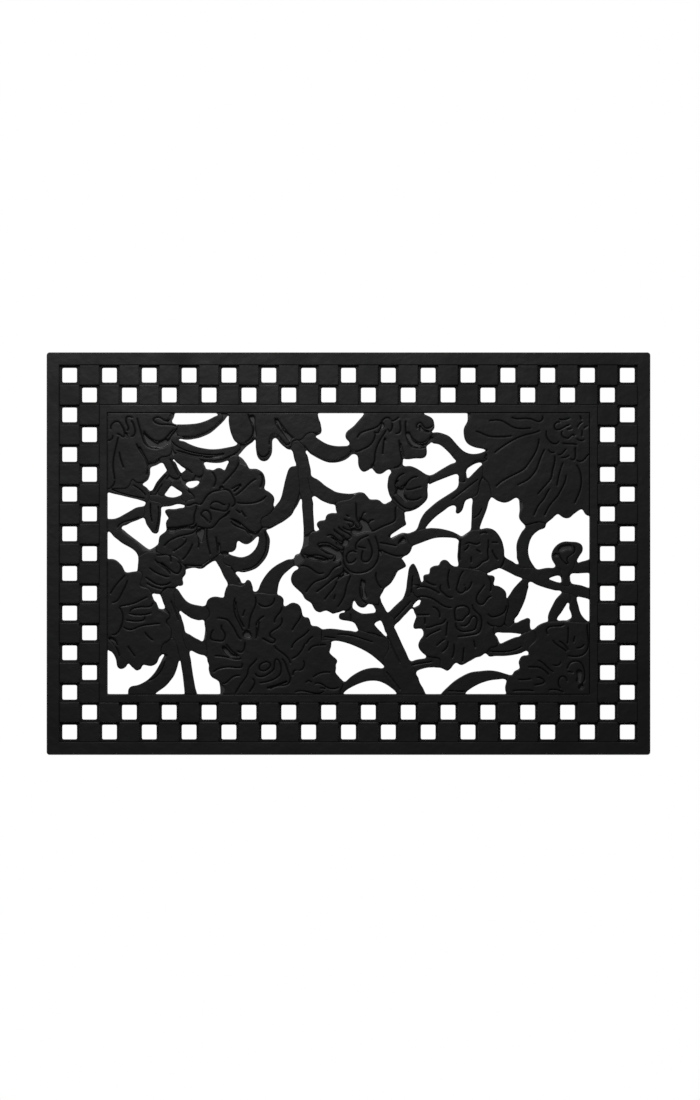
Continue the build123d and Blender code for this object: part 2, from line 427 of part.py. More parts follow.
# Each flower, leaf and stem of the field: its height, its outlines, the centre lines of the thin
# grooves that part its petals and veins, and its hollows, sunk to the level of the web. A hollow
# is an outline, or a width and a centre line. Outlines may run out over the gaps and the frame,
# and earlier entries lie over later ones, so the shared edges of neighbours are drawn only once.
MOTIFS = {
    "flower_northwest": (
        FLOWER_TOP,
        [
            [
                [(-375, 222), (-268, 222)],
                [
                    (-269, 210), (-271, 204), (-275, 200.5), (-265, 196.5), (-260, 192), (-262, 188),
                    (-268, 181.5), (-271, 176), (-277, 169), (-273, 165.5), (-268.5, 160),
                    (-268.5, 153), (-272, 149), (-283, 146.5), (-292, 141), (-299, 139), (-304, 137),
                    (-302, 127), (-303, 118), (-307, 111), (-314, 108), (-322, 109), (-327, 112.5),
                    (-331, 105.6), (-336, 100), (-346, 98.7), (-357, 98.5), (-375, 99),
                ],
                [(-375, 222)],
            ],
        ],
        [
            [(-349, 175.5), (-353, 158), (-356.5, 136), (-355, 119), (-354, 112), (-360, 99.5)],
            [(-347, 153), (-344, 139), (-340.6, 130.4)],
            [(-321, 165.4), (-315, 154.7), (-307, 142), (-304, 131), (-305.5, 120)],
            [
                (-360, 188.7), (-357.3, 196.8), (-349.7, 200), (-343, 193), (-339, 181), (-340, 176.5),
                (-346, 179.5), (-350.8, 180.3),
            ],
            [(-357.3, 178.5), (-357.8, 174.5), (-360.4, 172), (-364, 171.5)],
            [(-327.5, 206), (-336.6, 205), (-335.6, 195.7), (-333.5, 190.7), (-335, 186)],
            [(-328.5, 200.8), (-324, 190.7), (-324.4, 180), (-328.5, 177)],
            [
                (-320, 204.4), (-316.8, 192), (-312.8, 178.5), (-307, 165.4), (-302, 161.8),
                (-289, 158.8),
            ],
            [
                (-309.7, 184.6), (-299, 174), (-287, 170), (-276, 175.5), (-266.7, 185.6),
                (-261, 191.7), (-275, 195.5), (-289, 196.8), (-295.6, 202.8), (-289, 206.4),
                (-278, 201.3), (-269.7, 208),
            ],
        ],
        [
            [
                (-310, 183), (-299, 173), (-287, 169), (-276, 174), (-272, 168), (-281, 160),
                (-295, 160.5), (-305, 165),
            ],
            [3.2, (-316.5, 160.5), (-310.5, 149.5), (-305, 139)],
            [3.5, (-336.5, 182), (-335.5, 177)],
        ],
    ),
    "flower_west_large": (
        FLOWER_TOP,
        [
            [
                (-219, 127), (-211, 130), (-203, 128), (-195, 132), (-188, 128), (-184, 140),
                (-178, 147), (-170, 149), (-166, 146), (-164.3, 138), (-159, 135), (-150, 133),
                (-140, 130), (-130, 126), (-124, 116), (-125, 100), (-116, 94), (-111, 86), (-112, 76),
                (-118, 62.5), (-125, 57.5), (-131, 53.3), (-133, 48), (-132, 40), (-137, 34),
                (-142, 31), (-147, 24), (-150, 18), (-165, 14), (-168, 5), (-180, 0), (-184, 3),
                (-196, 0), (-201, -4), (-216, -14), (-230, -24), (-247, -18.5), (-253, -15), (-258, -8),
                (-268, -3), (-280, -1), (-289, 2), (-292, 12), (-290, 22), (-280, 33), (-279, 50),
                (-279, 60), (-279, 66), (-262, 70), (-249, 74), (-244, 80), (-233, 84), (-237, 91),
                (-243, 99), (-236, 101), (-228, 103), (-224, 110), (-222, 116), (-220, 121),
            ],
        ],
        [
            [(-206, 123), (-201, 111.7), (-204, 101.5)],
            [(-165.3, 145), (-168.3, 132), (-178.4, 118.3), (-190, 105.6)],
            [(-163, 105), (-169, 102), (-176, 98)],
            [(-140.5, 112.7), (-153, 103.6), (-166, 91.4), (-171.4, 88)],
            [(-125, 86.4), (-135, 79.3), (-152, 75.7), (-168, 76.7)],
            [(-133, 119.8), (-130.3, 114.7), (-130.8, 107.6), (-133.4, 100.5)],
            [(-178.4, 52.2), (-162, 44.6), (-149, 34), (-139, 31)],
            [(-177.4, 48.2), (-163.3, 39), (-147, 28), (-146.5, 23.4)],
            [(-200.7, 24.4), (-198.5, 9.2), (-198.2, 1)],
            [(-214.4, 37.5), (-214, 20.3), (-210.4, 3), (-209.3, -1)],
            [(-229.7, 30), (-227, 23.4), (-227.2, 9.7)],
            [
                (-274, 39), (-260.6, 39.6), (-241.4, 42.6), (-235.3, 44.6), (-233.8, 55.8),
                (-230.7, 67), (-230, 72),
            ],
            [(-229.2, 39), (-233.3, 33), (-250.5, 27.6), (-267.7, 21.3), (-278.8, 11.7)],
            [(-249.5, 24), (-246, 21.8), (-253.5, 11.2), (-265.2, 3.6)],
            [(-236.3, 14.2), (-241.4, 3), (-251, -9)],
            [(-249.5, -17.7), (-238, -18.2), (-228, -18.7), (-213, -12)],
            [
                (-245, 73), (-238, 74), (-231, 76), (-226, 74), (-218, 82), (-208.8, 92), (-194.7, 96),
                (-181.5, 95.5), (-175.4, 87.4), (-172, 75), (-176.4, 71.2),
            ],
            [(-182, 63), (-185, 59.3), (-195.7, 50.7), (-205.8, 39.6), (-222, 39.3), (-228.5, 41)],
            [
                (-209, 73), (-204, 78), (-193, 76), (-188, 73.5), (-181, 75), (-183, 66.5), (-198, 66),
                (-209, 73),
            ],
            [(-222, 62), (-214.5, 65), (-208, 54), (-210, 46.5), (-217, 53.5), (-222, 62)],
            [(-170, 66), (-164, 61.3)],
            [(-162, 64), (-155.7, 55.8)],
        ],
        [
            [
                (-274.5, 38), (-260, 38.5), (-241, 41), (-233, 43), (-230, 46), (-230.5, 40),
                (-240, 37), (-256, 36), (-274.5, 36),
            ],
            [(-176, 51), (-162, 43), (-149, 32.5), (-141, 30), (-145, 27), (-155, 34), (-168, 45)],
            [3.2, (-196, 15), (-195.5, 3)],
            [(-196, 1), (-190, 3), (-184, 2), (-188, -4.5), (-197, -3.5)],
            [(-227, 37), (-218, 37.5), (-218.5, 28), (-223, 17), (-226, 22)],
            [(-194, 102), (-190, 102.5), (-189, 98), (-196, 98.3)],
            [(-183, 63), (-179, 65), (-181, 60), (-189, 55)],
            [3, (-173, 94.5), (-163.5, 102.5)],
        ],
    ),
    "flower_north": (
        FLOWER_TOP,
        [
            [
                [
                    (-184, 222), (-182, 200), (-178, 182), (-172, 170), (-166, 167.5), (-158, 167),
                    (-151, 169.5), (-145, 176),
                ],
                [(-145, 176), (-141, 176)],
                [
                    (-140.5, 160), (-138.5, 150), (-134, 145), (-128, 143.7), (-122, 146),
                    (-118.5, 152), (-118, 168), (-116, 177), (-111, 179.5), (-106, 176), (-98, 166),
                    (-92, 162), (-87, 163), (-86, 168), (-82, 172), (-74, 172.5), (-68, 176),
                    (-64, 181), (-58, 183.5), (-48, 183), (-43, 184), (-40, 195), (-43, 208),
                    (-43, 222),
                ],
                [(-184, 222)],
            ],
        ],
        [
            [(-152, 211), (-147, 197), (-144.5, 183), (-149, 173.5), (-156, 168.5)],
            [
                (-139, 172), (-137, 152), (-129, 146), (-121, 152), (-119.3, 172), (-113, 180.5),
                (-106, 177.5), (-99, 169.5), (-92, 164.5), (-88.5, 168),
            ],
            [(-111, 204), (-109, 195.7), (-101.5, 185), (-94, 176.5), (-88.5, 171)],
            [(-107.5, 204), (-98, 190), (-89.3, 180), (-84, 175)],
        ],
        [
            [(-148, 210), (-144.5, 210), (-141, 190), (-140.6, 176), (-144, 177), (-143.5, 190)],
            [(-110, 205), (-108, 204), (-97.5, 187), (-85.5, 174), (-87, 171.5), (-101, 186)],
        ],
    ),
    "flower_north_east": (
        FLOWER_TOP,
        [
            [
                [
                    (22, 222), (14, 202), (-2, 190), (-6, 178), (-1, 170), (2, 165), (3, 158),
                    (8, 154.5), (14, 150), (12, 140), (16, 126), (22, 121), (30, 127), (36, 129.5),
                    (40, 122), (48, 119), (58, 126), (64, 128.5), (72, 129), (78, 131), (82, 136),
                    (83, 144), (90, 142), (112, 141), (121, 150), (119, 161), (124, 168), (128.5, 175),
                    (127, 183), (130, 186), (132, 198), (126, 210), (112, 216), (110, 222),
                ],
                [(22, 222)],
            ],
        ],
        [
            [
                (14, 176), (17, 181), (24, 185), (34, 188), (42, 191), (48, 196), (52, 202),
                (57, 205.5), (62, 205), (66, 201), (72, 203), (76, 206),
            ],
            [(41, 183), (44, 182.7), (47, 187)],
            [(40, 184), (40, 176), (36, 168), (30, 162), (22, 158), (12, 154.5), (5, 157)],
            [(57, 186), (52, 178), (46, 168), (42, 158), (40, 147), (39, 138), (35, 134)],
            [(54, 169), (53, 162), (52, 151)],
            [(66, 197), (66, 190), (63, 185), (60, 188)],
            [(78, 200), (79, 190), (77, 183), (72, 182)],
            [(77, 171), (78, 160), (80, 148), (81, 141), (77, 133), (70, 130.5)],
            [(87, 200), (86.5, 190), (88, 178), (91, 168), (96, 162.5), (104, 160), (116, 161)],
            [(92, 184), (96, 176), (102, 170), (109, 167.5), (117, 170), (126, 179)],
            [(104, 190), (105, 196), (109, 198), (113, 194), (117, 190), (122, 190), (127, 193)],
        ],
        [
            [
                (88.5, 184), (91, 184), (96, 174.5), (102, 168.7), (110, 166), (118, 169), (128, 177),
                (128, 172), (118, 163), (108, 161.5), (97, 163.5), (91.5, 170),
            ],
            [(107, 191), (108, 195.5), (112, 191), (116, 188), (122, 186), (123, 184), (114, 185)],
            [(35, 133.5), (38, 135), (39.5, 130), (35, 129)],
            [(48, 191), (53, 198), (54.5, 192), (50, 188)],
            [(53, 172), (56, 176), (57, 170), (54.5, 168)],
            [2.6, (79, 166), (81.5, 156), (83.7, 147)],
        ],
    ),
    "bud_north_east": (
        FLOWER_TOP,
        [
            [
                (66, 128.7), (72, 129), (78, 131), (84, 135), (92, 134), (102, 131), (112, 124),
                (120, 120.5), (123, 114), (120, 106), (121, 95), (121, 84), (110, 70), (98, 64.5),
                (88, 62.5), (80, 67), (73, 72.5), (68, 77), (62, 80), (57, 100), (58, 112), (62, 124),
            ],
        ],
        [
            [(84, 121), (78, 118), (73, 112), (71, 104), (72.5, 96), (70.5, 90)],
            [(104, 116), (98, 115), (92, 111), (86, 105), (80, 101)],
            [(110, 101), (102, 99), (95, 97), (88, 97)],
            [(110, 85), (104, 82), (96, 81), (89, 83), (86, 88)],
            [(68, 85), (76, 76), (84, 70), (94, 67), (104, 71)],
        ],
        [
            [
                (74, 111), (76, 112), (74.5, 102), (80, 99.5), (86, 104), (92, 110), (88, 103),
                (86, 97), (85, 87), (90, 80), (87, 78.5), (78, 86), (72.5, 91), (73.5, 100),
            ],
        ],
    ),
    "flower_far_north_east": (
        FLOWER_TOP,
        [
            [
                [
                    (184, 222), (182, 204), (172, 190), (172, 178), (177, 168), (190, 159), (208, 158),
                    (212, 158),
                ],
                [
                    (212, 158), (210, 150), (209.5, 142), (203, 137), (204, 126), (203.5, 117),
                    (208, 112), (213, 105), (216, 93), (216, 82),
                ],
                [
                    (216, 82), (230, 76), (245, 76), (254, 82), (262, 80), (262, 66), (256, 56),
                    (262, 48), (268, 44.5), (275, 45.5), (282, 47.5), (296, 47.5),
                ],
                [
                    (296, 47.5), (305, 48), (318, 59), (326, 52), (336, 52), (345, 61), (354, 66),
                    (360, 58), (375, 54),
                ],
                [(375, 222)],
                [(184, 222)],
            ],
        ],
        [
            [
                (214, 201), (222, 202), (232, 201), (240, 197), (248, 192), (256, 189.5), (266, 189),
                (276, 190),
            ],
            [(248, 206), (256, 204), (268, 204.5), (280, 202.5), (290, 200), (294, 203), (294, 208)],
            [(194, 185), (202, 182), (212, 178), (225, 176.5), (238, 177), (247, 178)],
            [
                (222, 153), (228, 158), (238, 165), (248, 171), (258, 176), (270, 180), (282, 183),
                (290, 186),
            ],
            [
                (224, 102), (232, 109), (242, 115), (252, 120), (260, 124), (268, 130), (274, 138),
                (280, 147), (285, 157), (288, 167), (289, 173),
            ],
            [
                (257, 104), (265, 108), (272, 112), (279, 119), (285, 128), (289, 139), (293, 149),
                (297, 157),
            ],
            [(287, 90), (294, 98), (302, 107), (307, 114), (309, 124), (312, 136), (313, 147)],
            [(305, 98), (300, 90), (295, 81), (289, 74), (285, 67), (281, 58)],
            [(316, 103), (318, 114), (321, 126), (325, 137)],
            [(330, 118), (327, 106), (322, 96), (317, 87), (310, 79), (304, 71), (300, 64), (297, 58)],
            [(343, 77), (348, 88), (352, 100), (353, 112), (351, 124), (346, 134)],
            [(300, 185), (300, 178), (303, 172), (309, 167), (313, 166), (319, 170)],
            [(325, 167), (332, 166), (340, 166), (346, 165)],
            [(320, 199), (314, 197), (312, 192), (314, 188), (320, 188), (328, 192), (335, 195)],
            [(320, 203), (328, 203), (335, 205)],
            [(324, 185), (324, 178), (329, 175), (334, 175), (338, 179), (343, 179)],
            [(332, 188), (338, 189)],
            [(303, 157), (307, 153), (312, 153)],
            [(318, 150), (322, 150), (327, 155), (330, 158)],
            [(323, 145), (330, 146), (334, 148)],
            [(344, 160), (344, 148), (342, 142), (337, 143)],
            [(346, 141), (352, 139.5), (357, 142), (361, 147), (364, 150)],
            [(346, 174), (351, 171), (357, 172)],
            [(347, 191), (350, 196), (354, 199)],
            [(354, 186), (354, 178)],
            [(357, 190), (362, 193)],
            [(351, 208), (353, 203)],
        ],
        [],
    ),
    "flower_centre": (
        FLOWER_TOP,
        [
            [
                (-19, 76), (-14, 79), (-6, 80.5), (3, 83), (8, 87), (12, 91), (20, 94), (29, 86),
                (44, 83), (52, 77), (62, 79), (68, 77), (73, 72.5), (80, 67), (88, 62.5), (88, 48),
                (88, 42), (75, 34), (61, 25), (66, 22), (80, 29), (86, 27), (91, 17), (96, 10), (97, 4),
                (88, -4), (80, -7), (88, -16), (86, -23), (72, -28), (64, -46), (52, -58), (47, -68),
                (45, -76), (31, -75.5), (22, -82), (14, -79), (9, -69), (5.5, -72), (4, -80), (0, -84),
                (-8, -88), (-20, -92), (-35, -86), (-48, -90), (-55, -78), (-68, -67), (-82, -53),
                (-89, -40), (-86, -28), (-77, -22.5), (-76, -17), (-70, -13), (-66, -6), (-72, 1),
                (-68, 10), (-61, 14), (-60, 22), (-58, 30), (-50, 34), (-44, 36), (-49, 45), (-44, 52),
                (-32, 62), (-20, 63), (-17, 68),
            ],
        ],
        [
            [
                (-7, 6), (-8, -8), (-4, -20), (5, -28), (17, -29.5), (30, -26), (41, -16), (46, -2),
                (45, 12), (41, 25),
            ],
            [(30, 27), (22, 24), (15, 19), (11, 12), (12, 6)],
            [(30, 21), (34, 12), (36, 2), (33, -8), (27, -13), (21, -11), (20, -4), (22, 4)],
            [(15, 10), (26, 8)],
            [(12, 2), (5, 3.5), (-1, 0), (-3, -7), (0, -14), (7, -13), (11, -8)],
            [
                (-32, 27), (-26, 28), (-20, 24), (-14, 19.5), (-8.5, 18.5), (-7.5, 22), (-12, 28),
                (-22, 37),
            ],
            [(-7, 27), (0, 22), (4, 25), (-4, 32), (-14, 42)],
            [(-8, 40), (-2, 36), (4, 35.5), (2, 40)],
            [(-6, 52), (2, 49), (8, 46), (7, 42), (0, 44)],
            [(-3, 58), (1, 56)],
            [
                (-18, 18), (-11, 12), (-7, 9), (-9, 5), (-15, 7), (-22, 11), (-30, 15.5), (-38, 16),
                (-46, 14), (-42, 7), (-35, 2), (-28, -1), (-22, -3), (-24, -7.5), (-30, -8), (-38, -5),
                (-48, -2.5), (-58, -3), (-67, -1),
            ],
            [(-72, -19), (-62, -20), (-55, -24), (-48, -29), (-38, -29.5)],
            [
                (-13, -13), (-12, -17), (-18, -20), (-26, -27), (-31, -34), (-40, -39), (-52, -44),
                (-58, -50), (-64, -58),
            ],
            [(-7, -22), (-9, -29), (-18, -35), (-30, -44), (-40, -52), (-48, -58)],
            [(-18, -43), (-22, -52), (-30, -62), (-36, -69.5)],
            [(-20, -63), (-22, -69)],
            [(3, -34), (0, -42), (-3, -50), (-5, -60), (-9, -70), (-16, -81)],
            [(20, -39), (18, -50), (18, -62), (22, -71), (27, -75)],
            [(42, -29), (42, -38), (45, -46), (50, -52)],
            [(48, 16), (56, 15), (66, 13), (72, 12)],
            [(50, 5), (58, 1), (66, -2), (76, -4), (82, -3)],
            [(76, 15), (78, 20), (84, 25)],
            [(72, 70), (71, 60), (70, 50), (62, 45), (52, 41), (42, 36), (37, 34), (33, 37)],
            [(17, 53), (20, 55), (22, 60), (25, 62)],
            [(30, 46), (34, 50), (38, 51)],
            [(11, 76), (12, 66), (12, 57), (15, 48), (18, 42), (16, 39), (11, 43)],
        ],
        [
            [
                (-44, 12.5), (-36, 14), (-28, 12.5), (-20, 7.5), (-11, 3), (-10.5, -9), (-15, -11.5),
                (-24, -11), (-20, -5), (-27, 0.5), (-36, 5),
            ],
            [(-64, -4.5), (-52, -4), (-40, -7), (-30, -10), (-34, -13), (-46, -11), (-58, -9)],
            [
                (16, 51), (20, 53), (27, 50), (32, 42), (36, 33), (26, 32), (10, 28), (4, 32), (7, 39),
                (15, 37), (20, 42),
            ],
            [(-27, 26), (-20, 22.5), (-9, 17), (-7, 22), (0, 20), (-2, 12), (-12, 13), (-20, 19)],
            [(22, -40), (25, -41), (25, -56), (27, -68), (23, -68), (20.5, -56)],
            [(-6, -24), (-3, -27), (2, -31), (-6, -33), (-16, -39), (-16, -36), (-8, -30)],
            [(77, 17), (79, 20), (85, 24.5), (87, 20), (82, 16)],
            [(47, 6), (49.5, 4), (50, -1), (47.5, -2)],
        ],
    ),
    "fruit_east": (
        FLOWER_TOP,
        [
            [
                (163, 30), (170, 24), (180, 29.5), (188, 35.5), (199, 36.5), (206, 40), (216, 39),
                (226, 33), (236, 16), (238, 0), (235, -9), (229, -20.5), (218, -25.5), (209, -29.5),
                (200, -25.5), (190, -24.5), (180, -22), (168, -20), (163, -10), (164, 10),
            ],
        ],
        [
            [(200, 30), (205, 32), (210, 31)],
            [(178, 14), (182, 16), (190, 14.5), (199, 16)],
            [
                (212, 20), (212, 10), (211, 0), (211, -9), (205, -12), (199, -17), (193, -21.5),
                (184, -21),
            ],
            [(176, 5), (180, 8), (182, 13)],
            [(170, 20), (169, 5), (168.5, -10)],
            [(186, -5), (186, -13)],
            [(194, 6), (200, 2)],
            [(218, 5), (222, -4), (226, -9)],
            [(218, 17), (226, 16.5)],
        ],
        [],
    ),
    "flower_east": (
        FLOWER_TOP,
        [
            [
                (108, -46.5), (112, -32), (122, -29), (123, -22), (136, -16), (145, -8), (154, -14),
                (163, -18), (175, -20.5), (185, -23.5), (197, -25), (208, -28.5), (212, -31),
                (224, -31), (222, -47), (232, -49), (240, -57), (241, -69), (242, -76), (240, -86),
                (238, -96), (236, -104), (230, -110), (221, -111), (220, -122), (226, -134),
                (225, -139), (216, -142), (210, -148), (204, -153), (195, -156), (180, -164),
                (172, -170), (162, -166), (156, -172), (149, -179), (140, -174), (139, -160),
                (120, -155), (112, -150), (104, -139), (108, -128), (115, -120), (112, -112.5),
                (98, -114), (98, -106), (103, -95), (97, -82), (108, -76), (108, -67), (102, -64),
                (98.5, -58), (99.5, -48),
            ],
        ],
        [
            [(153, -25), (151, -35), (151, -45), (153, -53)],
            [(174, -27), (169, -35), (166, -45), (165, -57), (170, -60), (175, -58), (176, -48)],
            [(187, -43), (183, -52), (179, -56)],
            [
                (206, -48), (201, -55), (196, -62), (194, -70), (197, -76), (203, -77), (208, -72),
                (216, -65),
            ],
            [(140, -48), (140, -56), (145, -61), (152, -66), (158, -66)],
            [(118, -42), (124, -46), (132, -48)],
            [(102, -68), (110, -65), (120, -66), (130, -70), (140, -77), (148, -81), (156, -82)],
            [(128, -81), (134, -84), (138, -90), (138, -97)],
            [(104, -93), (112, -93), (122, -93)],
            [(116, -98), (116, -106)],
            [(118, -112), (126, -111), (134, -108), (142, -106), (147, -100)],
            [(118, -127), (124, -122), (130, -119), (139, -115)],
            [
                (162, -100), (161, -90), (163, -82), (170, -79.5), (178, -80), (183, -85), (182, -92),
                (177, -96), (173, -101), (168, -101.5), (162, -100),
            ],
            [
                (170, -109), (178, -109), (183, -104), (186, -98), (190, -95), (194, -98), (194, -108),
                (191, -115), (183, -117.5), (172, -118), (166, -115), (163, -106),
            ],
            [
                (166, -126), (176, -125), (188, -123), (197, -120), (201, -112), (202, -102),
                (200, -95), (193, -88), (188, -78),
            ],
            [(151, -134), (149, -142), (142, -149)],
            [(146, -130), (140, -134), (134, -139.5)],
            [(150, -104), (149, -114), (148, -124)],
            [(160, -138), (160, -148), (157, -158)],
            [(175, -143), (174, -152), (173, -163)],
            [(190, -132), (192, -142)],
            [(212, -92), (218, -96), (228, -94), (235, -90), (239, -80)],
            [(211, -105), (216, -109), (224, -110)],
            [(212, -35), (216, -45), (215, -57)],
            [(104, -52), (116, -50.5), (127, -54), (138, -60)],
        ],
        [],
    ),
    "flower_far_south_east": (
        FLOWER_TOP,
        [
            [
                [(375, -104), (335, -103.5), (303, -103.5), (290, -106), (278, -115)],
                [(278, -115), (284, -122), (284, -130), (277, -138), (272, -144), (274, -154)],
                [
                    (274, -154), (260, -155), (256, -165), (258, -173), (246, -182), (241, -188),
                    (238, -200), (238, -222),
                ],
                [(375, -222)],
                [(375, -104)],
            ],
        ],
        [
            [(302, -122), (301, -114), (306, -110.8), (315, -110), (326, -108)],
            [(333, -112), (333, -125), (332, -136)],
            [(362, -108), (363.5, -130), (362, -145), (354, -154), (345, -156), (333, -155)],
            [(310, -132), (317, -139), (323, -143), (330, -148)],
            [(320, -133), (328, -139), (333, -146)],
            [(343, -126), (341, -134)],
            [(346, -143), (353, -142), (357, -138)],
            [(288, -162), (296, -167), (302, -173), (310, -179)],
            [(273, -172), (282, -172), (290, -173), (297, -177), (303, -183)],
            [(322, -162), (321, -167), (310, -169)],
            [
                (332, -174), (335, -167), (343, -163), (350, -164), (356, -172), (358, -184),
                (356, -194), (351, -200), (350, -204),
            ],
            [(333, -179), (340, -180)],
            [(321, -204), (318, -196), (320, -189), (324, -186), (329, -188), (331, -193)],
            [(258, -191), (268, -191), (276, -190)],
            [(286, -188), (294, -190), (297, -194), (290, -198), (282, -199)],
            [(250, -208), (265, -207), (280, -208)],
            [(304, -207), (312, -206), (325, -210)],
        ],
        [
            [(347, -176), (352, -176), (354, -188), (350, -196), (345, -194), (346, -186)],
            [(349, -200), (355, -197), (356, -201), (353, -206), (349, -205)],
        ],
    ),
    "flower_south_west": (
        FLOWER_TOP,
        [
            [
                [
                    (-182, -47), (-170, -47.5), (-160, -48), (-151, -38), (-144, -50), (-143, -59.5),
                    (-136, -59.5), (-122, -61), (-109, -61), (-103, -60), (-96, -72), (-92, -75),
                    (-85, -72), (-74, -75), (-68, -88), (-66, -94), (-58, -96), (-54, -107),
                    (-45, -108), (-40.5, -114), (-40.5, -123), (-40.5, -131), (-28, -131), (-25, -150),
                    (-15, -158), (-16, -185), (-8.5, -196), (-12, -206), (-10, -222),
                ],
                [(-198, -222)],
                [
                    (-198, -222), (-193, -195), (-208, -185), (-212, -170), (-214, -156),
                    (-214.5, -145), (-216, -135), (-215, -120), (-216, -101), (-211, -95), (-212, -85),
                    (-216, -78), (-211, -66), (-190, -64), (-184, -50), (-182, -47),
                ],
            ],
        ],
        [
            [
                (-198, -98), (-190, -98.5), (-183, -101), (-177, -108), (-172, -116), (-168, -124),
                (-163, -130),
            ],
            [
                (-205, -116), (-208, -122), (-208, -130), (-200, -132), (-190, -132), (-187, -127),
                (-188, -120), (-192, -114), (-192, -109),
            ],
            [(-157, -135), (-157.5, -143), (-161, -149), (-168, -148)],
            [
                (-185, -138), (-180, -144), (-174, -150), (-168, -154), (-163, -159), (-172, -160),
                (-180, -158), (-190, -156), (-202, -155),
            ],
            [
                (-204, -179), (-198, -175), (-188, -172.5), (-178, -172), (-168, -173), (-162, -172),
                (-161, -167),
            ],
            [(-191, -197), (-186, -196), (-180, -191), (-175, -187), (-170, -185), (-165, -185)],
            [
                (-171, -211), (-168, -206), (-163, -198), (-157, -190), (-153, -183), (-151, -174),
                (-146, -168), (-139, -160),
            ],
            [(-150, -210), (-145, -203), (-142, -196), (-145, -190)],
            [
                (-134, -169), (-128, -165), (-121, -165), (-118, -169), (-122, -175), (-129, -178),
                (-135, -175), (-134, -169),
            ],
            [
                (-141, -182), (-137, -186), (-128, -186), (-119, -181), (-113, -175), (-112, -166),
                (-109, -160), (-104, -165), (-102, -174), (-103, -182), (-110, -189), (-122, -194),
                (-134, -196),
            ],
            [
                (-100, -160), (-95, -168), (-91, -180), (-88, -190), (-91, -197), (-100, -200),
                (-110, -201), (-118, -205),
            ],
            [(-172, -68), (-173, -85), (-170, -97), (-164, -108), (-160, -117)],
            [(-141, -66), (-143, -84), (-148, -95), (-150, -105), (-151, -114)],
            [(-157, -86), (-160, -94)],
            [(-128, -95), (-134, -99), (-139, -106), (-139, -118), (-140, -128)],
            [(-101, -82), (-104, -90), (-110, -97), (-112, -104)],
            [
                (-101, -98), (-102, -107), (-108, -113), (-116, -118), (-119, -122), (-117, -127),
                (-111, -131), (-113, -135), (-120, -134), (-130, -129),
            ],
            [(-136, -76), (-130, -80), (-122, -80), (-115, -76), (-112, -68)],
            [(-72, -94), (-75, -101), (-80, -108), (-85, -116)],
            [(-60, -116), (-72, -127), (-80, -133), (-86, -143)],
            [(-66, -137), (-71, -147), (-78, -155), (-85, -159)],
            [(-112, -140), (-107, -146), (-100, -151), (-93, -157), (-88, -166)],
            [(-40, -115), (-40, -131)],
            [(-54, -126), (-60, -131), (-64, -137)],
            [(-60, -147), (-54, -141), (-47, -139), (-35, -138.5)],
            [(-53, -187), (-47, -183), (-40, -180.5), (-28, -180)],
            [(-68, -163), (-67, -170), (-73, -177), (-80, -177), (-84, -184)],
            [(-64, -195), (-60, -193), (-56, -195)],
            [(-50, -197), (-40, -198), (-32, -203), (-24, -205), (-15, -203)],
            [(-80, -210), (-60, -210), (-38, -209.5), (-35, -206), (-42, -204)],
        ],
        [
            [2.6, (-170.5, -74), (-169.5, -87), (-165, -99), (-158.5, -111)],
            [(-159, -119), (-152, -116), (-147, -127), (-158, -127)],
            [2.4, (-135.5, -104), (-136.5, -115), (-137.5, -125)],
            [
                (-190, -140), (-184, -142), (-177, -150), (-168, -156), (-176, -158), (-184, -154),
                (-188, -150),
            ],
            [3.4, (-94, -194), (-104, -198), (-122, -203.5)],
        ],
    ),
    "flower_west": (
        FLOWER_TOP,
        [
            [
                [(-375, -5), (-358, -5), (-345, -13), (-338, -27.5), (-328, -28), (-317, -27)],
                [(-317, -27), (-312, -34), (-315, -49), (-306, -52), (-299.5, -58)],
                [
                    (-299.5, -58), (-293, -68), (-289, -80), (-282, -86), (-275, -89), (-270.5, -96),
                    (-276, -101), (-276, -105), (-270, -112), (-268.5, -122), (-271, -130),
                    (-280, -136), (-284, -148), (-283, -158), (-290, -171), (-310, -174), (-322, -181),
                    (-334, -171), (-346, -180), (-356, -166), (-360, -150), (-375, -143),
                ],
                [(-375, -5)],
            ],
        ],
        [
            [(-339, -33.4), (-345.7, -40.5), (-351.8, -47.5), (-360.4, -60.7)],
            [
                (-335, -41.5), (-337.6, -48.6), (-341.6, -56.7), (-345.7, -64.8), (-350, -71),
                (-357, -74.5),
            ],
            [(-346, -80), (-335, -78), (-325, -75.5), (-318, -72.5), (-312, -69.5), (-305, -66)],
            [(-331, -88), (-328, -84), (-322, -82), (-312, -81), (-300, -80), (-296, -75)],
            [(-332, -91), (-322, -93), (-312, -93), (-299, -90)],
            [(-336, -101), (-325, -102.5), (-315, -102), (-309.5, -100), (-309, -96)],
            [(-340, -112), (-328, -115), (-315, -110), (-305, -108), (-286, -106)],
            [(-347, -82), (-342, -93), (-342, -102), (-345, -112), (-352, -122), (-358, -123.5)],
            [(-359, -132), (-353, -140), (-349, -148), (-347, -155)],
            [(-334, -141), (-329, -148), (-324, -155)],
            [(-308, -120), (-302, -127), (-297, -131)],
        ],
        [[(-363, -127), (-359, -126), (-350, -136), (-349, -140), (-355, -136)]],
    ),
    "bud_west": (
        FLOWER_TOP,
        [
            [
                (-300, 3), (-290, 1.5), (-280, -1), (-268, -3), (-258, -8), (-250, -17), (-245, -25),
                (-246, -36), (-248, -46), (-258, -50), (-268, -51), (-280, -52), (-284, -59),
                (-298, -59.5), (-303, -54), (-312, -50), (-316, -42), (-313, -32), (-318, -27),
                (-322, -20), (-321, -8), (-312, -1),
            ],
        ],
        [
            [(-290, -2.5), (-281, -2), (-272, -2.5), (-269, -12)],
            [
                (-301, -22.2), (-291, -29.3), (-284, -32.3), (-270.5, -34), (-270.2, -30.3),
                (-276, -24.2), (-283, -19.2), (-292.5, -9.6),
            ],
            [
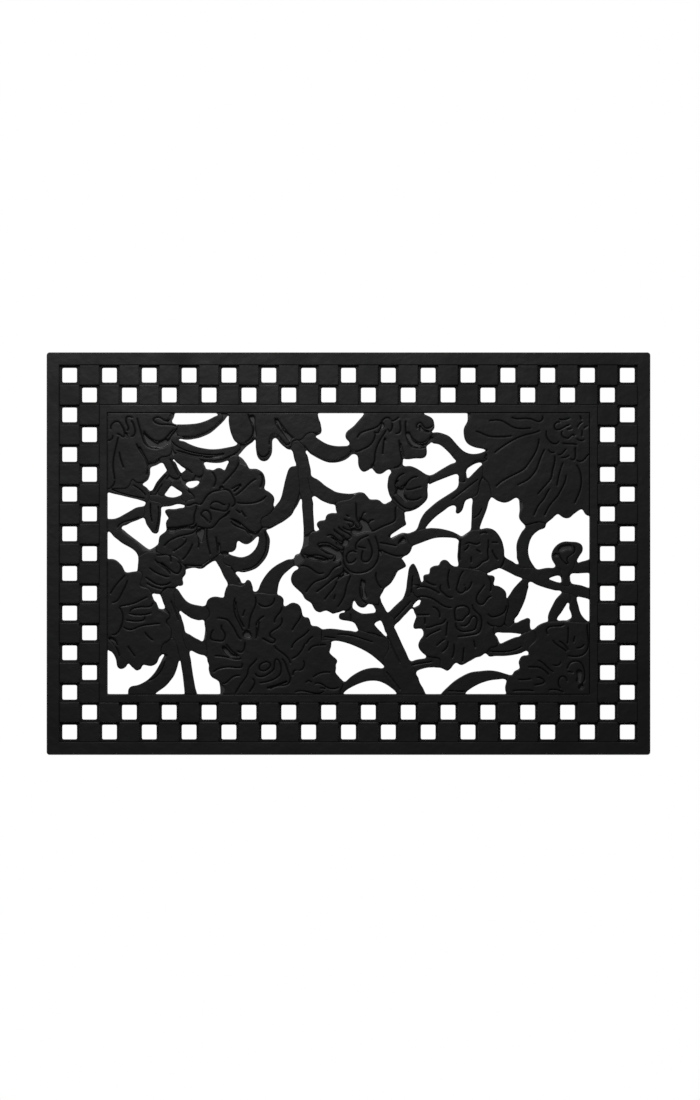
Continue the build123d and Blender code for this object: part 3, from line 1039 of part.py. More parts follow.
                (-283, -14), (-276, -19.7), (-269.7, -25.3), (-264.7, -28.8), (-258.6, -30.3),
                (-254, -24), (-254, -18), (-257.6, -13),
            ],
            [(-307, -36.4), (-299, -41.5), (-290, -46.5), (-281, -48), (-270, -44)],
            [(-305, -45.5), (-297, -49.6), (-283.4, -53.6)],
        ],
        [
            [(-289, -12), (-283, -15), (-270, -27), (-264, -32), (-269, -29), (-284, -17)],
            [
                (-300, -24), (-291, -31), (-282, -35), (-270, -36.5), (-272, -39), (-286, -37),
                (-296, -30),
            ],
        ],
    ),
    "calyx_northwest": (
        LEAF_TOP,
        [
            [
                (-375, 105), (-340, 108), (-315, 112), (-308, 104), (-303.5, 95), (-302, 88),
                (-304, 79), (-312, 76), (-340, 82), (-375, 86),
            ],
        ],
        [
            [(-358, 97), (-340, 90.4), (-324, 86.4), (-309, 83.5)],
            [(-326, 103.6), (-319, 99.5), (-307, 88.4)],
        ],
        [],
    ),
    "leaf_a": (
        LEAF_TOP,
        [
            [
                (-259, 190), (-257, 199), (-240, 200), (-222, 204), (-208, 209), (-198, 213),
                (-192, 210.5), (-190.5, 206.5), (-194, 202.4), (-201, 195.3), (-210, 188.8),
                (-219, 184), (-229, 180.2), (-240, 178), (-250, 177.8), (-258, 179.7), (-260, 184),
            ],
        ],
        [],
        [],
    ),
    "leaf_b": (
        LEAF_TOP,
        [
            [
                (-268, 171), (-265, 177), (-256, 178), (-244, 172), (-236, 169), (-222, 164),
                (-208, 161), (-190, 162.5), (-178, 166), (-167, 168), (-163.5, 162), (-167, 157.4),
                (-174, 151.6), (-182, 147.6), (-190, 144.5), (-200, 142.5), (-210, 141.8),
                (-220, 142.5), (-230, 144.5), (-240, 147), (-250, 149.5), (-258, 152), (-264, 155),
                (-267, 162),
            ],
        ],
        [[(-267.7, 169.4), (-250.5, 157.8), (-228, 151.7), (-212, 149.7), (-189, 151.7)]],
        [
            [
                (-262, 157), (-250, 155), (-236, 151), (-222, 149), (-206, 148), (-188, 150),
                (-192, 146.5), (-206, 144), (-224, 145.5), (-244, 150),
            ],
        ],
    ),
    "leaf_c": (
        LEAF_TOP,
        [
            [
                (-264.5, 147), (-258, 153), (-238, 150), (-228, 145), (-223, 139), (-220, 132),
                (-218.5, 126), (-221, 120.5), (-226, 117.5), (-230, 118.5), (-236, 123), (-242, 128),
                (-252, 133), (-262, 141),
            ],
            [
                (-253, 118.5), (-252, 125), (-245, 126.5), (-238, 122), (-233, 119), (-233.5, 115.5),
                (-237, 113), (-244, 111.7), (-250, 112.5),
            ],
        ],
        [],
        [],
    ),
    "leaf_e": (
        LEAF_TOP,
        [
            [
                (-303, 84), (-296, 79), (-286, 77), (-280, 60), (-282, 45), (-286, 30), (-292, 27),
                (-300, 29), (-309, 42), (-312, 52), (-309, 60), (-309, 70), (-306, 80),
            ],
        ],
        [
            [(-300, 76), (-300, 64), (-299, 56), (-297.6, 48.7)],
            [(-288, 71), (-287.5, 59), (-288.5, 47.7), (-292, 35)],
        ],
        [],
    ),
    "leaf_f": (
        LEAF_TOP,
        [
            [
                (-84, 134), (-93, 132), (-98, 112), (-105, 84), (-111, 70), (-117, 62.5), (-125, 57),
                (-131, 52.5), (-133, 45), (-130, 41), (-122, 41), (-110, 46), (-98, 53), (-89, 61),
                (-82, 73), (-77, 84), (-74.5, 95), (-74.5, 108), (-76.5, 120), (-78, 134),
            ],
        ],
        [],
        [],
    ),
    "leaf_g": (
        LEAF_TOP,
        [
            [
                (-132, 36), (-127, 39), (-120, 38), (-116, 20), (-118, 2), (-124, -14), (-138, -28),
                (-155, -32), (-170, -30), (-174, -24), (-180, -18), (-187, -15), (-189, -5), (-183, -2),
                (-176, 2), (-160, 0), (-145, 8), (-138, 22), (-136, 30),
            ],
        ],
        [[(-127, 33), (-124.5, 20), (-126, 4), (-134, -11), (-146, -21), (-160, -24.5)]],
        [],
    ),
    "leaf_h": (
        LEAF_TOP,
        [
            [
                (-143, -59.8), (-138, -46), (-130, -34), (-113, -16), (-95, -6), (-84, -7), (-83, -12),
                (-84, -22), (-95, -30), (-103, -44), (-105, -61), (-122, -61.5), (-136, -60),
            ],
        ],
        [],
        [],
    ),
    "leaf_i": (
        LEAF_TOP,
        [
            [
                (-74, 171.5), (-66, 181), (-56, 183), (-48, 179), (-42, 173), (-30, 168), (-15, 165.5),
                (0, 166), (3, 162), (3, 156), (-3, 150), (-12, 144.5), (-20, 142), (-28, 141.5),
                (-36, 143), (-44, 146.7), (-52, 151), (-60, 156.5), (-67, 164),
            ],
        ],
        [],
        [],
    ),
    "leaf_j": (
        LEAF_TOP,
        [
            [
                (-59, 118), (-52, 119), (-44, 114), (-30, 103), (-15, 95), (0, 92.5), (6, 92),
                (7, 86.5), (3, 83), (-4, 81), (-12, 80), (-20, 77), (-28, 75), (-38, 79), (-46, 83),
                (-53, 89), (-58, 97), (-60, 108),
            ],
        ],
        [],
        [],
    ),
    "leaf_k": (
        LEAF_TOP,
        [
            [
                (-264, -66), (-262, -56), (-258, -53), (-246, -64), (-232, -72), (-218, -74),
                (-212, -82), (-211, -92), (-215, -99), (-226, -105), (-240, -103), (-252, -93),
                (-259, -85), (-263, -78),
            ],
        ],
        [],
        [],
    ),
    "leaf_l": (
        LEAF_TOP,
        [
            [
                (-266, -129), (-260, -140), (-257.5, -152), (-254, -166), (-260, -185), (-273, -203),
                (-290, -214), (-300, -224), (-336, -224), (-336, -200), (-310, -190), (-290, -172),
                (-276, -152), (-284, -150), (-283, -143), (-279, -135), (-272, -130),
            ],
        ],
        [[(-302, -192), (-290, -185), (-281, -172), (-277, -158)]],
        [],
    ),
    "leaf_m": (
        LEAF_TOP,
        [
            [
                (-250, -118), (-246, -115), (-236, -121), (-222, -128), (-214, -134), (-213, -146),
                (-216, -157), (-228, -157), (-240, -148), (-246, -142), (-250, -130),
            ],
        ],
        [],
        [],
    ),
    "leaf_n": (
        LEAF_TOP,
        [
            [
                (86, -64), (82, -58), (86, -40), (88, -22), (97, -10), (106, -20), (112, -38),
                (113, -46), (108, -46.5), (99.5, -48), (98.5, -58), (94, -63),
            ],
        ],
        [[(95, -60), (96, -48), (97.5, -34)]],
        [],
    ),
    "leaf_o": (
        LEAF_TOP,
        [
            [
                (262, -40), (270, -39), (276, -46), (273, -62), (264, -84), (253, -101), (249, -106),
                (243, -111), (238, -107), (238.5, -97), (242.5, -80), (240, -66), (248, -52),
            ],
        ],
        [],
        [],
    ),
    "leaf_p": (
        LEAF_TOP,
        [
            [
                (250, -106), (262, -99), (272, -95), (278, -102), (276, -116), (268, -120), (250, -122),
                (222, -121), (219, -111), (236, -108), (243, -111),
            ],
        ],
        [],
        [],
    ),
    "leaf_q": (
        LEAF_TOP,
        [
            [
                (272, -117), (283, -116), (285, -128), (276, -140), (270, -149), (255, -156),
                (235, -158), (213, -158), (206, -149), (214, -143), (226, -138), (232, -134),
                (248, -128), (264, -122),
            ],
        ],
        [[(214, -148), (230, -149), (248, -147), (262, -141)]],
        [],
    ),
    "leaf_r": (
        LEAF_TOP,
        [
            [
                (136, -224), (143, -208), (158, -193), (178, -178), (210, -174), (232, -176),
                (248, -184), (243, -189.5), (232, -193), (210, -196), (190, -204), (179, -212),
                (178, -224),
            ],
        ],
        [[(152, -208), (176, -209)]],
        [],
    ),
    "leaf_s": (
        LEAF_TOP,
        [
            [
                (200, 107), (205, 112), (211, 108), (214.5, 98), (217, 86), (214, 70), (207, 52),
                (201, 38), (192, 35.5), (184, 36), (184, 60), (186, 84), (194, 88), (198, 98),
            ],
        ],
        [[(190, 54), (196, 58), (202, 68)]],
        [],
    ),
    "spoon": (
        LEAF_TOP,
        [
            [
                (321, -22), (313, -20), (305, -4), (307, 9), (317, 18), (330, 21), (348, 20), (358, 8),
                (352, -3), (343, -13), (341, -21), (336, -27), (333, -36), (335, -47), (329, -48.5),
                (324, -47), (325, -36), (321.5, -28),
            ],
        ],
        [[(341, 12), (340, 0), (333, -5), (333, -15)], [(319, 0), (324, -10), (331, -16)]],
        [
            [(317, 5), (320, 11), (330, 14), (338, 13), (338, 6), (330, 5), (323, 2)],
            [(310, -3), (313, 1), (318, -1), (317, -5), (312, -5)],
        ],
    ),
    "stalks": (
        STEM_TOP,
        [
            [
                (-284, 152), (-268, 150), (-262, 138), (-255.5, 118), (-258, 114.8), (-265, 115),
                (-272, 120), (-279, 128), (-286, 142),
            ],
            [
                (-269, 106), (-265, 109.5), (-258, 111.5), (-250, 105), (-244, 98), (-237.5, 90),
                (-232, 84), (-236, 79), (-243, 78), (-251, 80), (-256, 90), (-268, 98),
            ],
        ],
        [[(-270, 143), (-264.5, 131), (-259, 119)], [(-254, 108), (-240, 92)]],
        [],
    ),
    "sepals": (
        STEM_TOP,
        [
            [
                (-279, 126), (-271.5, 121), (-276, 114), (-284, 104), (-290, 94.5), (-294.5, 89.5),
                (-299, 90), (-301, 96), (-296, 106), (-288, 118),
            ],
            [
                (-275, 112), (-269.5, 110.5), (-268, 101), (-277, 90), (-281.5, 86.5), (-286, 88.5),
                (-288, 92), (-283, 101),
            ],
        ],
        [[(-276, 118.5), (-286, 107), (-294, 94)]],
        [],
    ),
    "stem_a": (
        STEM_TOP,
        [
            [
                (-300, 88.5), (-292, 88.7), (-284, 88), (-278, 88), (-272, 86), (-262, 87), (-252, 88),
                (-246, 84), (-240, 79), (-245, 73), (-256, 69), (-275, 66), (-285, 68), (-291, 76),
                (-302, 82),
            ],
        ],
        [],
        [],
    ),
    "stem_b": (
        STEM_TOP,
        [
            [
                (-375, 57), (-352, 57), (-340, 63), (-325, 73), (-311, 75), (-306, 70), (-307, 57),
                (-312, 50), (-330, 42), (-344, 36), (-336, 28), (-320, 16), (-306, 4), (-296, 3),
                (-298, 0), (-308, -2), (-316, -5), (-323, 0), (-330, 6), (-345, 12), (-360, 26),
                (-375, 32),
            ],
        ],
        [[(-350, 40), (-344, 46), (-332, 50), (-318, 55)]],
        [],
    ),
    "stem_c": (
        STEM_TOP,
        [
            [
                (-199, -2), (-190, -3), (-188.5, -8), (-186, -17), (-177, -20), (-168, -28),
                (-163, -38), (-158, -47.5), (-170, -48), (-182, -47.5), (-190, -44), (-207, -12),
            ],
        ],
        [[(-177, -22), (-170, -33), (-165, -44)]],
        [],
    ),
    "stem_d": (
        STEM_TOP,
        [
            [
                (-87, 158), (-86.5, 168), (-80, 171.5), (-74, 171.5), (-69, 166), (-65, 156),
                (-60, 140), (-56, 118), (-57, 100), (-52, 90), (-50, 60), (-50, 38), (-55, 34),
                (-61, 29.5), (-66, 28.5), (-71, 34), (-72, 60), (-73, 90), (-75.5, 100), (-76, 118),
                (-84, 140),
            ],
        ],
        [],
        [],
    ),
    "stem_e": (
        STEM_TOP,
        [
            [
                (-283, -59), (-276, -54), (-265, -51), (-259, -57), (-262, -68), (-263, -78),
                (-255, -90), (-249, -104), (-246, -118), (-250, -128), (-248, -136), (-242, -145),
                (-236, -160), (-232, -185), (-226, -224), (-253, -224), (-254, -190), (-255, -160),
                (-258, -150), (-262, -138), (-266, -130), (-272, -130), (-269, -117), (-275, -102),
                (-270, -95), (-275, -85),
            ],
        ],
        [
            [(-269, -72), (-263, -86), (-258, -100)],
            [(-266, -132), (-260, -142), (-258.5, -156)],
            [(-249, -130), (-245, -142)],
        ],
        [],
    ),
    "stem_f": (
        STEM_TOP,
        [
            [
                (128, 186), (140, 187), (154, 180), (167, 166), (176, 156), (190, 152), (208, 153.5),
                (209.5, 147), (206, 141.5), (196, 142), (186, 136), (180, 130), (176, 122), (176, 112),
                (172, 108.5), (168, 109), (166, 118), (160, 118), (150, 114), (135, 107), (124, 103),
                (122, 112), (123, 121), (135, 126), (150, 135), (162, 140), (158, 146), (148, 157),
                (138, 165), (128, 168),
            ],
        ],
        [[(209, 150), (206, 143)]],
        [],
    ),
    "stem_g": (
        STEM_TOP,
        [
            [
                (103, 36), (109, 58), (122, 72), (148, 91), (163, 100), (168, 108), (176, 108),
                (180, 116), (190, 125), (201, 136), (204, 128), (203, 118), (198, 108), (197, 98),
                (193, 88), (188, 82), (178, 80), (175, 66), (167, 57), (162, 58), (161, 72), (148, 65),
                (132, 53), (117, 38), (110, 36.5),
            ],
        ],
        [[(158, 83), (170, 92), (184, 103), (196, 112)]],
        [],
    ),
    "stem_h": (
        STEM_TOP,
        [
            [
                (85, 24), (88, 34), (100, 37), (112, 41), (130, 42), (148, 38), (163, 32), (163, 22),
                (150, 21), (130, 20), (110, 13), (96, 7), (91, 14),
            ],
        ],
        [],
        [],
    ),
    "stem_i": (
        STEM_TOP,
        [
            [
                (268, 43), (275, 44), (282, 46), (297, 47), (302, 40), (287, 30), (277, 15), (276, 0),
                (280, -14), (285, -20), (272, -22), (260, -21), (254, -13), (252, 0), (252, 14),
                (258, 30),
            ],
        ],
        [],
        [],
    ),
    "stem_j": (
        STEM_TOP,
        [
            [
                (228, -21.5), (236, -9), (236, -1), (248, -8), (258, -12), (270, -16), (286, -18),
                (300, -18), (314, -17), (322, -23), (325, -30), (320, -36), (310, -36), (306, -38),
                (310, -41), (322, -42), (335, -42), (350, -44), (375, -50), (375, -74), (360, -71),
                (346, -66), (335, -61), (325, -59), (310, -58), (295, -55), (280, -48), (270, -42.5),
                (260, -40), (248, -33), (236, -26),
            ],
            [
                (340, -18), (346, -8), (358, -5), (375, -2), (375, -34), (345, -34), (333, -32),
                (336, -25),
            ],
        ],
        [],
        [],
    ),
    "stem_l": (
        STEM_TOP,
        [
            [
                (322, -58), (334, -60), (337, -66), (335, -75), (328, -84), (318, -99), (318, -106),
                (300, -106), (299, -95), (304, -80), (314, -66), (320, -60),
            ],
        ],
        [],
        [],
    ),
    "stem_m": (
        STEM_TOP,
        [
            [
                (335, -60), (348, -63), (350, -80), (358, -98), (366, -106), (334, -106), (338, -95),
                (334, -80), (333, -70),
            ],
        ],
        [],
        [],
    ),
    "stem_t": (
        STEM_TOP,
        [
            [
                (97, -160), (110, -157.5), (122, -152), (142, -156), (142, -177), (125, -169),
                (112, -171.5), (102, -179), (98, -172), (94, -166),
            ],
        ],
        [[(97, -169), (106, -167), (116, -165.5), (126, -164)]],
        [],
    ),
    "stem_n": (
        STEM_TOP,
        [
            [
                (42, -76), (48, -68), (56, -80), (61, -90), (68, -98), (72, -110), (82, -132),
                (94, -158), (99, -166), (108, -176), (106, -186), (124, -224), (78, -224), (72, -210),
                (60, -193), (54, -180), (54, -170), (53, -162), (60, -148), (60, -130), (56, -118),
                (50, -103), (45, -98), (40, -88), (38, -80),
            ],
        ],
        [[(60, -128), (68, -145), (78, -165)], [(58, -180), (68, -192), (78, -206)]],
        [],
    ),
    "stem_o": (
        STEM_TOP,
        [
            [
                (-41, -113), (-20, -111), (0, -114), (14, -115.5), (30, -121), (45, -126), (58, -130),
                (61, -140), (58, -156), (57, -174), (50, -170), (36, -156), (18, -145), (0, -138),
                (-20, -134), (-30, -134), (-41, -131.5),
            ],
        ],
        [[(-16, -122.5), (0, -123.5), (18, -128), (36, -134)], [(-36, -126), (-20, -128)]],
        [],
    ),
    "stem_p": (
        STEM_TOP,
        [
            [
                (3, -84), (8, -82), (16, -88), (28, -89), (42, -88), (46, -96), (46, -103), (40, -107),
                (44, -114), (54, -124), (60, -132), (45, -127), (28, -122), (15, -119.5), (10, -110),
                (2, -104), (4, -94),
            ],
            [(5, -91), (5, -99), (-2, -104), (-14, -102), (-18, -94), (-12, -87), (-4, -87)],
        ],
        [[(3.5, -92), (4, -100)], [(22, -120), (36, -121), (50, -126)]],
        [],
    ),
    "stem_r": (
        STEM_TOP,
        [
            [
                (-12, -190), (-6, -192), (5, -182), (20, -173), (38, -170), (56, -172), (58, -182),
                (68, -196), (78, -212), (82, -224), (70, -216), (56, -201), (36, -195), (14, -201),
                (-2, -209), (-9, -224), (-13, -206),
            ],
        ],
        [],
        [],
    ),
    "stem_s": (
        STEM_TOP,
        [
            [
                (86, -62), (76, -70), (57, -89), (67, -99), (70, -112), (84, -98), (97, -83),
                (106, -72), (110, -68), (104, -62), (98, -58), (92, -60),
            ],
        ],
        [[(68, -100), (80, -88), (94, -73)]],
        [],
    ),
}


def region(points):
    """The face inside one outline."""
    smooth = isinstance(points[0], tuple)
    with BuildSketch() as shape:
        with BuildLine():
            if smooth:
                Spline(*points, periodic=True)
            else:
                last = points[0][0]
                for run in points:
                    side(run if run[0] == last else [last, *run])
                    last = run[-1]
        make_face()
    return shape.sketch


def side(points):
    """A straight line between two points, or a smooth one through more."""
    if len(points) == 2:
        Line(*points)
    else:
        Spline(*points)


def stroke(points, width):
    """The face that a groove of this width covers: open with round ends, or a closed ring."""
    ring = points[0] == points[-1]
    knots = [Vector(*point) for point in (points[:-1] if ring else points)]
    left = []
    right = []
    for n, knot in enumerate(knots):
        before = knots[n - 1] if ring or n > 0 else knot
        after = knots[(n + 1) % len(knots)] if ring or n + 1 < len(knots) else knot
        across = (after - before).normalized().rotate(Axis.Z, 90) * (width / 2)
        left.append(knot + across)
        right.append(knot - across)
    with BuildSketch() as shape:
        if ring:
            turns_left = sum(a.X * b.Y - b.X * a.Y for a, b in zip(knots, knots[1:] + knots[:1])) > 0
            outer, inner = (right, left) if turns_left else (left, right)
            with BuildLine():
                Spline(*outer, periodic=True)
            make_face()
            with BuildLine():
                Spline(*inner, periodic=True)
            make_face(mode=Mode.SUBTRACT)
        else:
            tip = knots[-1] + (knots[-1] - knots[-2]).normalized() * (width / 2)
            tail = knots[0] + (knots[0] - knots[1]).normalized() * (width / 2)
            with BuildLine():
                side(left)
                ThreePointArc(left[-1], tip, right[-1])
                side(right)
                ThreePointArc(right[0], tail, left[0])
            make_face()
    return shape.sketch


def hollow(patch):
    """A hollow's face, from its outline or from a width and a centre line."""
    first, *others = patch
    if isinstance(first, (list, tuple)):
        return region(patch)
    return stroke(others, first)


def cells(odd):
    """Centres of the border's cells: the even ones are windows and the odd ones are pads."""
    centres = []
    for i in range(COLUMNS):
        for j in range(ROWS):
            in_columns = BORDER_CELLS <= i < COLUMNS - BORDER_CELLS
            in_rows = BORDER_CELLS <= j < ROWS - BORDER_CELLS
            if (i + j) % 2 == odd and not (in_columns and in_rows):
                centres.append(((i - (COLUMNS - 1) / 2) * PITCH_X, (j - (ROWS - 1) / 2) * PITCH_Y))
    return centres


def top_edges(part):
    """The edges round the part's highest faces."""
    return part.faces().filter_by(Axis.Z).group_by(Axis.Z)[-1].edges()


def large(sketch):
    """The sketch's faces, without the crumbs that crossing outlines leave."""
    return [face for face in sketch.faces() if face.area > SMALLEST_PATCH]


def finish(part, name):
    """Label one piece and write its file."""
    part.label = name
    export_step(part, "parts/" + name + ".step")


os.makedirs("parts", exist_ok=True)

# Flat rim round the outside.
with BuildPart() as outer_rim:
    with BuildSketch():
        RectangleRounded(LENGTH, WIDTH, CORNER_RADIUS)
        Rectangle(LENGTH - 2 * RIM_WIDTH, WIDTH - 2 * RIM_WIDTH, mode=Mode.SUBTRACT)
    extrude(amount=RIM_TOP)
    chamfer(top_edges(outer_rim), RIM_BEVEL)
finish(outer_rim.part, "outer_rim")

# Raised square pads, every second cell of the border.
with BuildPart() as pad:
    with BuildSketch():
        Rectangle(PITCH_X - HAIRLINE, PITCH_Y - HAIRLINE)
    extrude(amount=PAD_TOP)
    chamfer(top_edges(pad), PAD_BEVEL)

with BuildPart() as checker_pads:
    with Locations(*cells(1)):
        add(pad.part)
finish(checker_pads.part, "checker_pads")

# Low ledges round the windows, which fill the other cells.
with BuildPart() as window_ledges:
    with BuildSketch():
        with Locations(*cells(0)):
            Rectangle(PITCH_X - HAIRLINE, PITCH_Y - HAIRLINE)
            RectangleRounded(
                PITCH_X - 2 * LEDGE_WIDTH, PITCH_Y - 2 * LEDGE_WIDTH, WINDOW_RADIUS, mode=Mode.SUBTRACT
            )
    extrude(amount=LEDGE_TOP)
finish(window_ledges.part, "window_ledges")

# Inner frame between the border and the field.
with BuildPart() as inner_frame:
    with BuildSketch():
        Rectangle(FRAME_X, FRAME_Y)
        Rectangle(FIELD_X, FIELD_Y, mode=Mode.SUBTRACT)
    extrude(amount=FRAME_TOP)
    chamfer(top_edges(inner_frame), PAD_BEVEL)
finish(inner_frame.part, "inner_frame")

# The field starts as one sheet inside the frame, less its gaps.
with BuildSketch() as field:
    Rectangle(FIELD_X, FIELD_Y)
    for gap in OPENINGS.values():
        add(region(gap), mode=Mode.SUBTRACT)
sheet = large(field.sketch)

# Each motif takes its own share of the sheet.
for name, (height, outlines, grooves, hollows) in MOTIFS.items():
    with BuildSketch() as share:
        for outline in outlines:
            add(region(outline))
        add(sheet, mode=Mode.INTERSECT)
    with BuildSketch() as rest:
        add(sheet)
        add(share.sketch, mode=Mode.SUBTRACT)
    sheet = large(rest.sketch)
    with BuildPart() as motif:
        with BuildSketch():
            add(large(share.sketch))
        extrude(amount=height)
        if grooves:
            with BuildSketch(Plane.XY.offset(height)):
                for groove in grooves:
                    add(stroke(groove, GROOVE_WIDTH))
            extrude(amount=-GROOVE_DEPTH, mode=Mode.SUBTRACT)
        if hollows:
            with BuildSketch(Plane.XY.offset(height)):
                for patch in hollows:
                    add(hollow(patch))
            extrude(amount=WEB_TOP - height, mode=Mode.SUBTRACT)
    finish(motif.part, name)

# What is left of the sheet is the low web that joins the motifs.
with BuildPart() as low_web:
    with BuildSketch():
        add(sheet)
    extrude(amount=WEB_TOP)
finish(low_web.part, "low_web")
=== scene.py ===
"""The look of a moulded rubber door mat, seen from straight above on a glowing white floor.

Every CAD node gets one visual piece. The rim, the inner frame and the pads keep the CAD shape with
softened edges. The ledges, the low web and the relief of the field are remeshed and smoothed, so
that their edges and grooves are as soft as a moulding's."""

import bmesh
import bpy
import numpy as np
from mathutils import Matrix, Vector


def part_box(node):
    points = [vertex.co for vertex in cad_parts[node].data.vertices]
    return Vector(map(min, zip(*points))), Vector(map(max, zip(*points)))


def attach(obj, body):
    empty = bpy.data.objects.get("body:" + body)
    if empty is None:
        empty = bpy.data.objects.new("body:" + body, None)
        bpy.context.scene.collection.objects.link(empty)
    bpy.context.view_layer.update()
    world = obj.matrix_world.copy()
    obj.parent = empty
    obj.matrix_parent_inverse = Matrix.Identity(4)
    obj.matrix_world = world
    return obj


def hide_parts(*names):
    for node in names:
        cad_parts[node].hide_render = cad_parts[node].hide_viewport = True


MM = 0.001

# Vertices closer than this are joined when CAD nodes are merged.
JOIN_DISTANCE = 0.002 * MM

# Rounding of the pieces that keep their CAD shape.
EDGE_ROUND = 0.5 * MM
EDGE_SEGMENTS = 2

# Remeshing of the moulded relief, and the share of its faces that stays.
VOXEL = 0.8 * MM
KEEP_FACES = 0.3
SMOOTH_FACTOR = 0.5
SMOOTH_STEPS = 5

# The ledges and the web carry on as thin sheets under the pads and the relief.
BACKING_TOP = 4.3 * MM
LEDGE_TOP = 4.5 * MM
BACKING_VOXEL = 1.1 * MM
BACKING_KEEP = 0.13

# How far remeshed walls move outwards, and the groove left round the field.
WALL_SWELL = 0.6 * MM
FRAME_GROOVE = 0.7 * MM

# Colours of the rubber, and the painted tones of its low parts: a painted sheen in the field and
# painted shade in the border.
BORDER_BLACK = (0.013, 0.013, 0.0135)
FIELD_BLACK = (0.014, 0.014, 0.0145)
LOW_PAINTED_SHEEN = (0.09, 0.09, 0.093)
SHADED = (0.005, 0.005, 0.005)

# The painted low tone starts below the first height and is full at the second.
LOW_START = 6.2 * MM
LOW_FULL = 4.6 * MM

# Mottling: noise between the two levels turns dark into light and dull into glossy.
CLOUD_SCALE = 14.0
CLOUD_DETAIL = 5.0
CLOUD_LOW = 0.3
CLOUD_HIGH = 0.7
DARK_SHARE = 0.6
LIGHT_SHARE = 1.45
GLOSS_SPREAD = 0.14

# Creases, where pointiness is low, are given less reflection than flat rubber: painted shade in the
# creases.
CREASE_POINTINESS = 0.45
FLAT_POINTINESS = 0.5
CREASE_SPECULAR = 0.12
FLAT_SPECULAR = 0.5

# Fine grain, and the waves of an uneven surface.
GRAIN_SCALE = 900.0
GRAIN_DETAIL = 3.0
GRAIN_DEPTH = 0.2 * MM
WAVE_SCALE = 70.0
WAVE_DETAIL = 2.0
WAVE_STRENGTH = 0.9
WAVE_DEPTH = 1.0 * MM

# Camera.
CAMERA_HEIGHT = 6.0
VIEW_HEIGHT = 1.6685
VIEW_CENTRE = (0.0023, 0.0055)
SENSOR = 24.0
CLIP_END = 50

# Floor and light.
FLOOR_SIZE = 12.0
FLOOR_DROP = 0.5 * MM
FLOOR_GLOW = 1.0
ROOM_GLOW = 0.05
LAMP_PLACE = (-0.3, 1.2, 1.3)
LAMP_AIM = (-0.1, 0.1, 0)
LAMP_SIZE = 0.6
LAMP_POWER = 13

LEDGES = "window_ledges"
BORDER = ("outer_rim", "inner_frame", "checker_pads", LEDGES)
WEB = "low_web"


def node_tree(material):
    """The material's node tree, emptied."""
    material.use_nodes = True
    tree = material.node_tree
    tree.nodes.clear()
    return tree


def noise(tree, place, scale, detail):
    """Noise at a place."""
    node = tree.nodes.new("ShaderNodeTexNoise")
    node.inputs["Scale"].default_value = scale
    node.inputs["Detail"].default_value = detail
    tree.links.new(place, node.inputs["Vector"])
    return node.outputs["Fac"]


def remap(tree, value, old_range, new_range):
    """A value moved from one range to another, and held at the new range's ends."""
    node = tree.nodes.new("ShaderNodeMapRange")
    node.inputs["From Min"].default_value = old_range[0]
    node.inputs["From Max"].default_value = old_range[1]
    node.inputs["To Min"].default_value = new_range[0]
    node.inputs["To Max"].default_value = new_range[1]
    tree.links.new(value, node.inputs["Value"])
    return node.outputs["Result"]


def bumps(tree, height, strength, depth):
    """A bump node that follows a height."""
    node = tree.nodes.new("ShaderNodeBump")
    node.inputs["Strength"].default_value = strength
    node.inputs["Distance"].default_value = depth
    tree.links.new(height, node.inputs["Height"])
    return node


def rubber(name, base, painted_low_colour, low_shine, roughness, grain_strength):
    """Black rubber: mottled tone and gloss, a painted tone low down (painted shade in the border, a
    painted sheen in the field), and a fine moulded grain.
    """
    material = bpy.data.materials.new(name)
    tree = node_tree(material)
    nodes, links = tree.nodes, tree.links
    out = nodes.new("ShaderNodeOutputMaterial")
    shader = nodes.new("ShaderNodeBsdfPrincipled")
    links.new(shader.outputs[0], out.inputs[0])
    place = nodes.new("ShaderNodeTexCoord").outputs["Object"]
    cloud = noise(tree, place, CLOUD_SCALE, CLOUD_DETAIL)

    split = nodes.new("ShaderNodeSeparateXYZ")
    links.new(place, split.inputs[0])
    low = remap(tree, split.outputs["Z"], (LOW_START, LOW_FULL), (0, 1))

    tone = nodes.new("ShaderNodeValToRGB")
    dark, light = tone.color_ramp.elements
    dark.position = CLOUD_LOW
    dark.color = (*[c * DARK_SHARE for c in base], 1)
    light.position = CLOUD_HIGH
    light.color = (*[c * LIGHT_SHARE for c in base], 1)
    links.new(cloud, tone.inputs["Fac"])
    # Below the low heights the colour turns to the given painted low tone.
    painted_low_tone = nodes.new("ShaderNodeMix")
    painted_low_tone.data_type = "RGBA"
    painted_low_tone.inputs["B"].default_value = (*painted_low_colour, 1)
    links.new(low, painted_low_tone.inputs["Factor"])
    links.new(tone.outputs["Color"], painted_low_tone.inputs["A"])
    links.new(painted_low_tone.outputs["Result"], shader.inputs["Base Color"])

    dull_to_glossy = (roughness + GLOSS_SPREAD, roughness - GLOSS_SPREAD)
    gloss = remap(tree, cloud, (CLOUD_LOW, CLOUD_HIGH), dull_to_glossy)
    shine = nodes.new("ShaderNodeMath")
    shine.operation = "MULTIPLY_ADD"
    shine.inputs[1].default_value = -low_shine
    links.new(low, shine.inputs[0])
    links.new(gloss, shine.inputs[2])
    links.new(shine.outputs["Value"], shader.inputs["Roughness"])

    # Painted shade: creases reflect less light than flat rubber.
    form = nodes.new("ShaderNodeNewGeometry").outputs["Pointiness"]
    crease_to_flat = (CREASE_POINTINESS, FLAT_POINTINESS)
    crease_painted_shade = remap(tree, form, crease_to_flat, (CREASE_SPECULAR, FLAT_SPECULAR))
    links.new(crease_painted_shade, shader.inputs["Specular IOR Level"])

    grain = bumps(tree, noise(tree, place, GRAIN_SCALE, GRAIN_DETAIL), grain_strength, GRAIN_DEPTH)
    waves = bumps(tree, noise(tree, place, WAVE_SCALE, WAVE_DETAIL), WAVE_STRENGTH, WAVE_DEPTH)
    links.new(grain.outputs["Normal"], waves.inputs["Normal"])
    links.new(waves.outputs["Normal"], shader.inputs["Normal"])
    return material


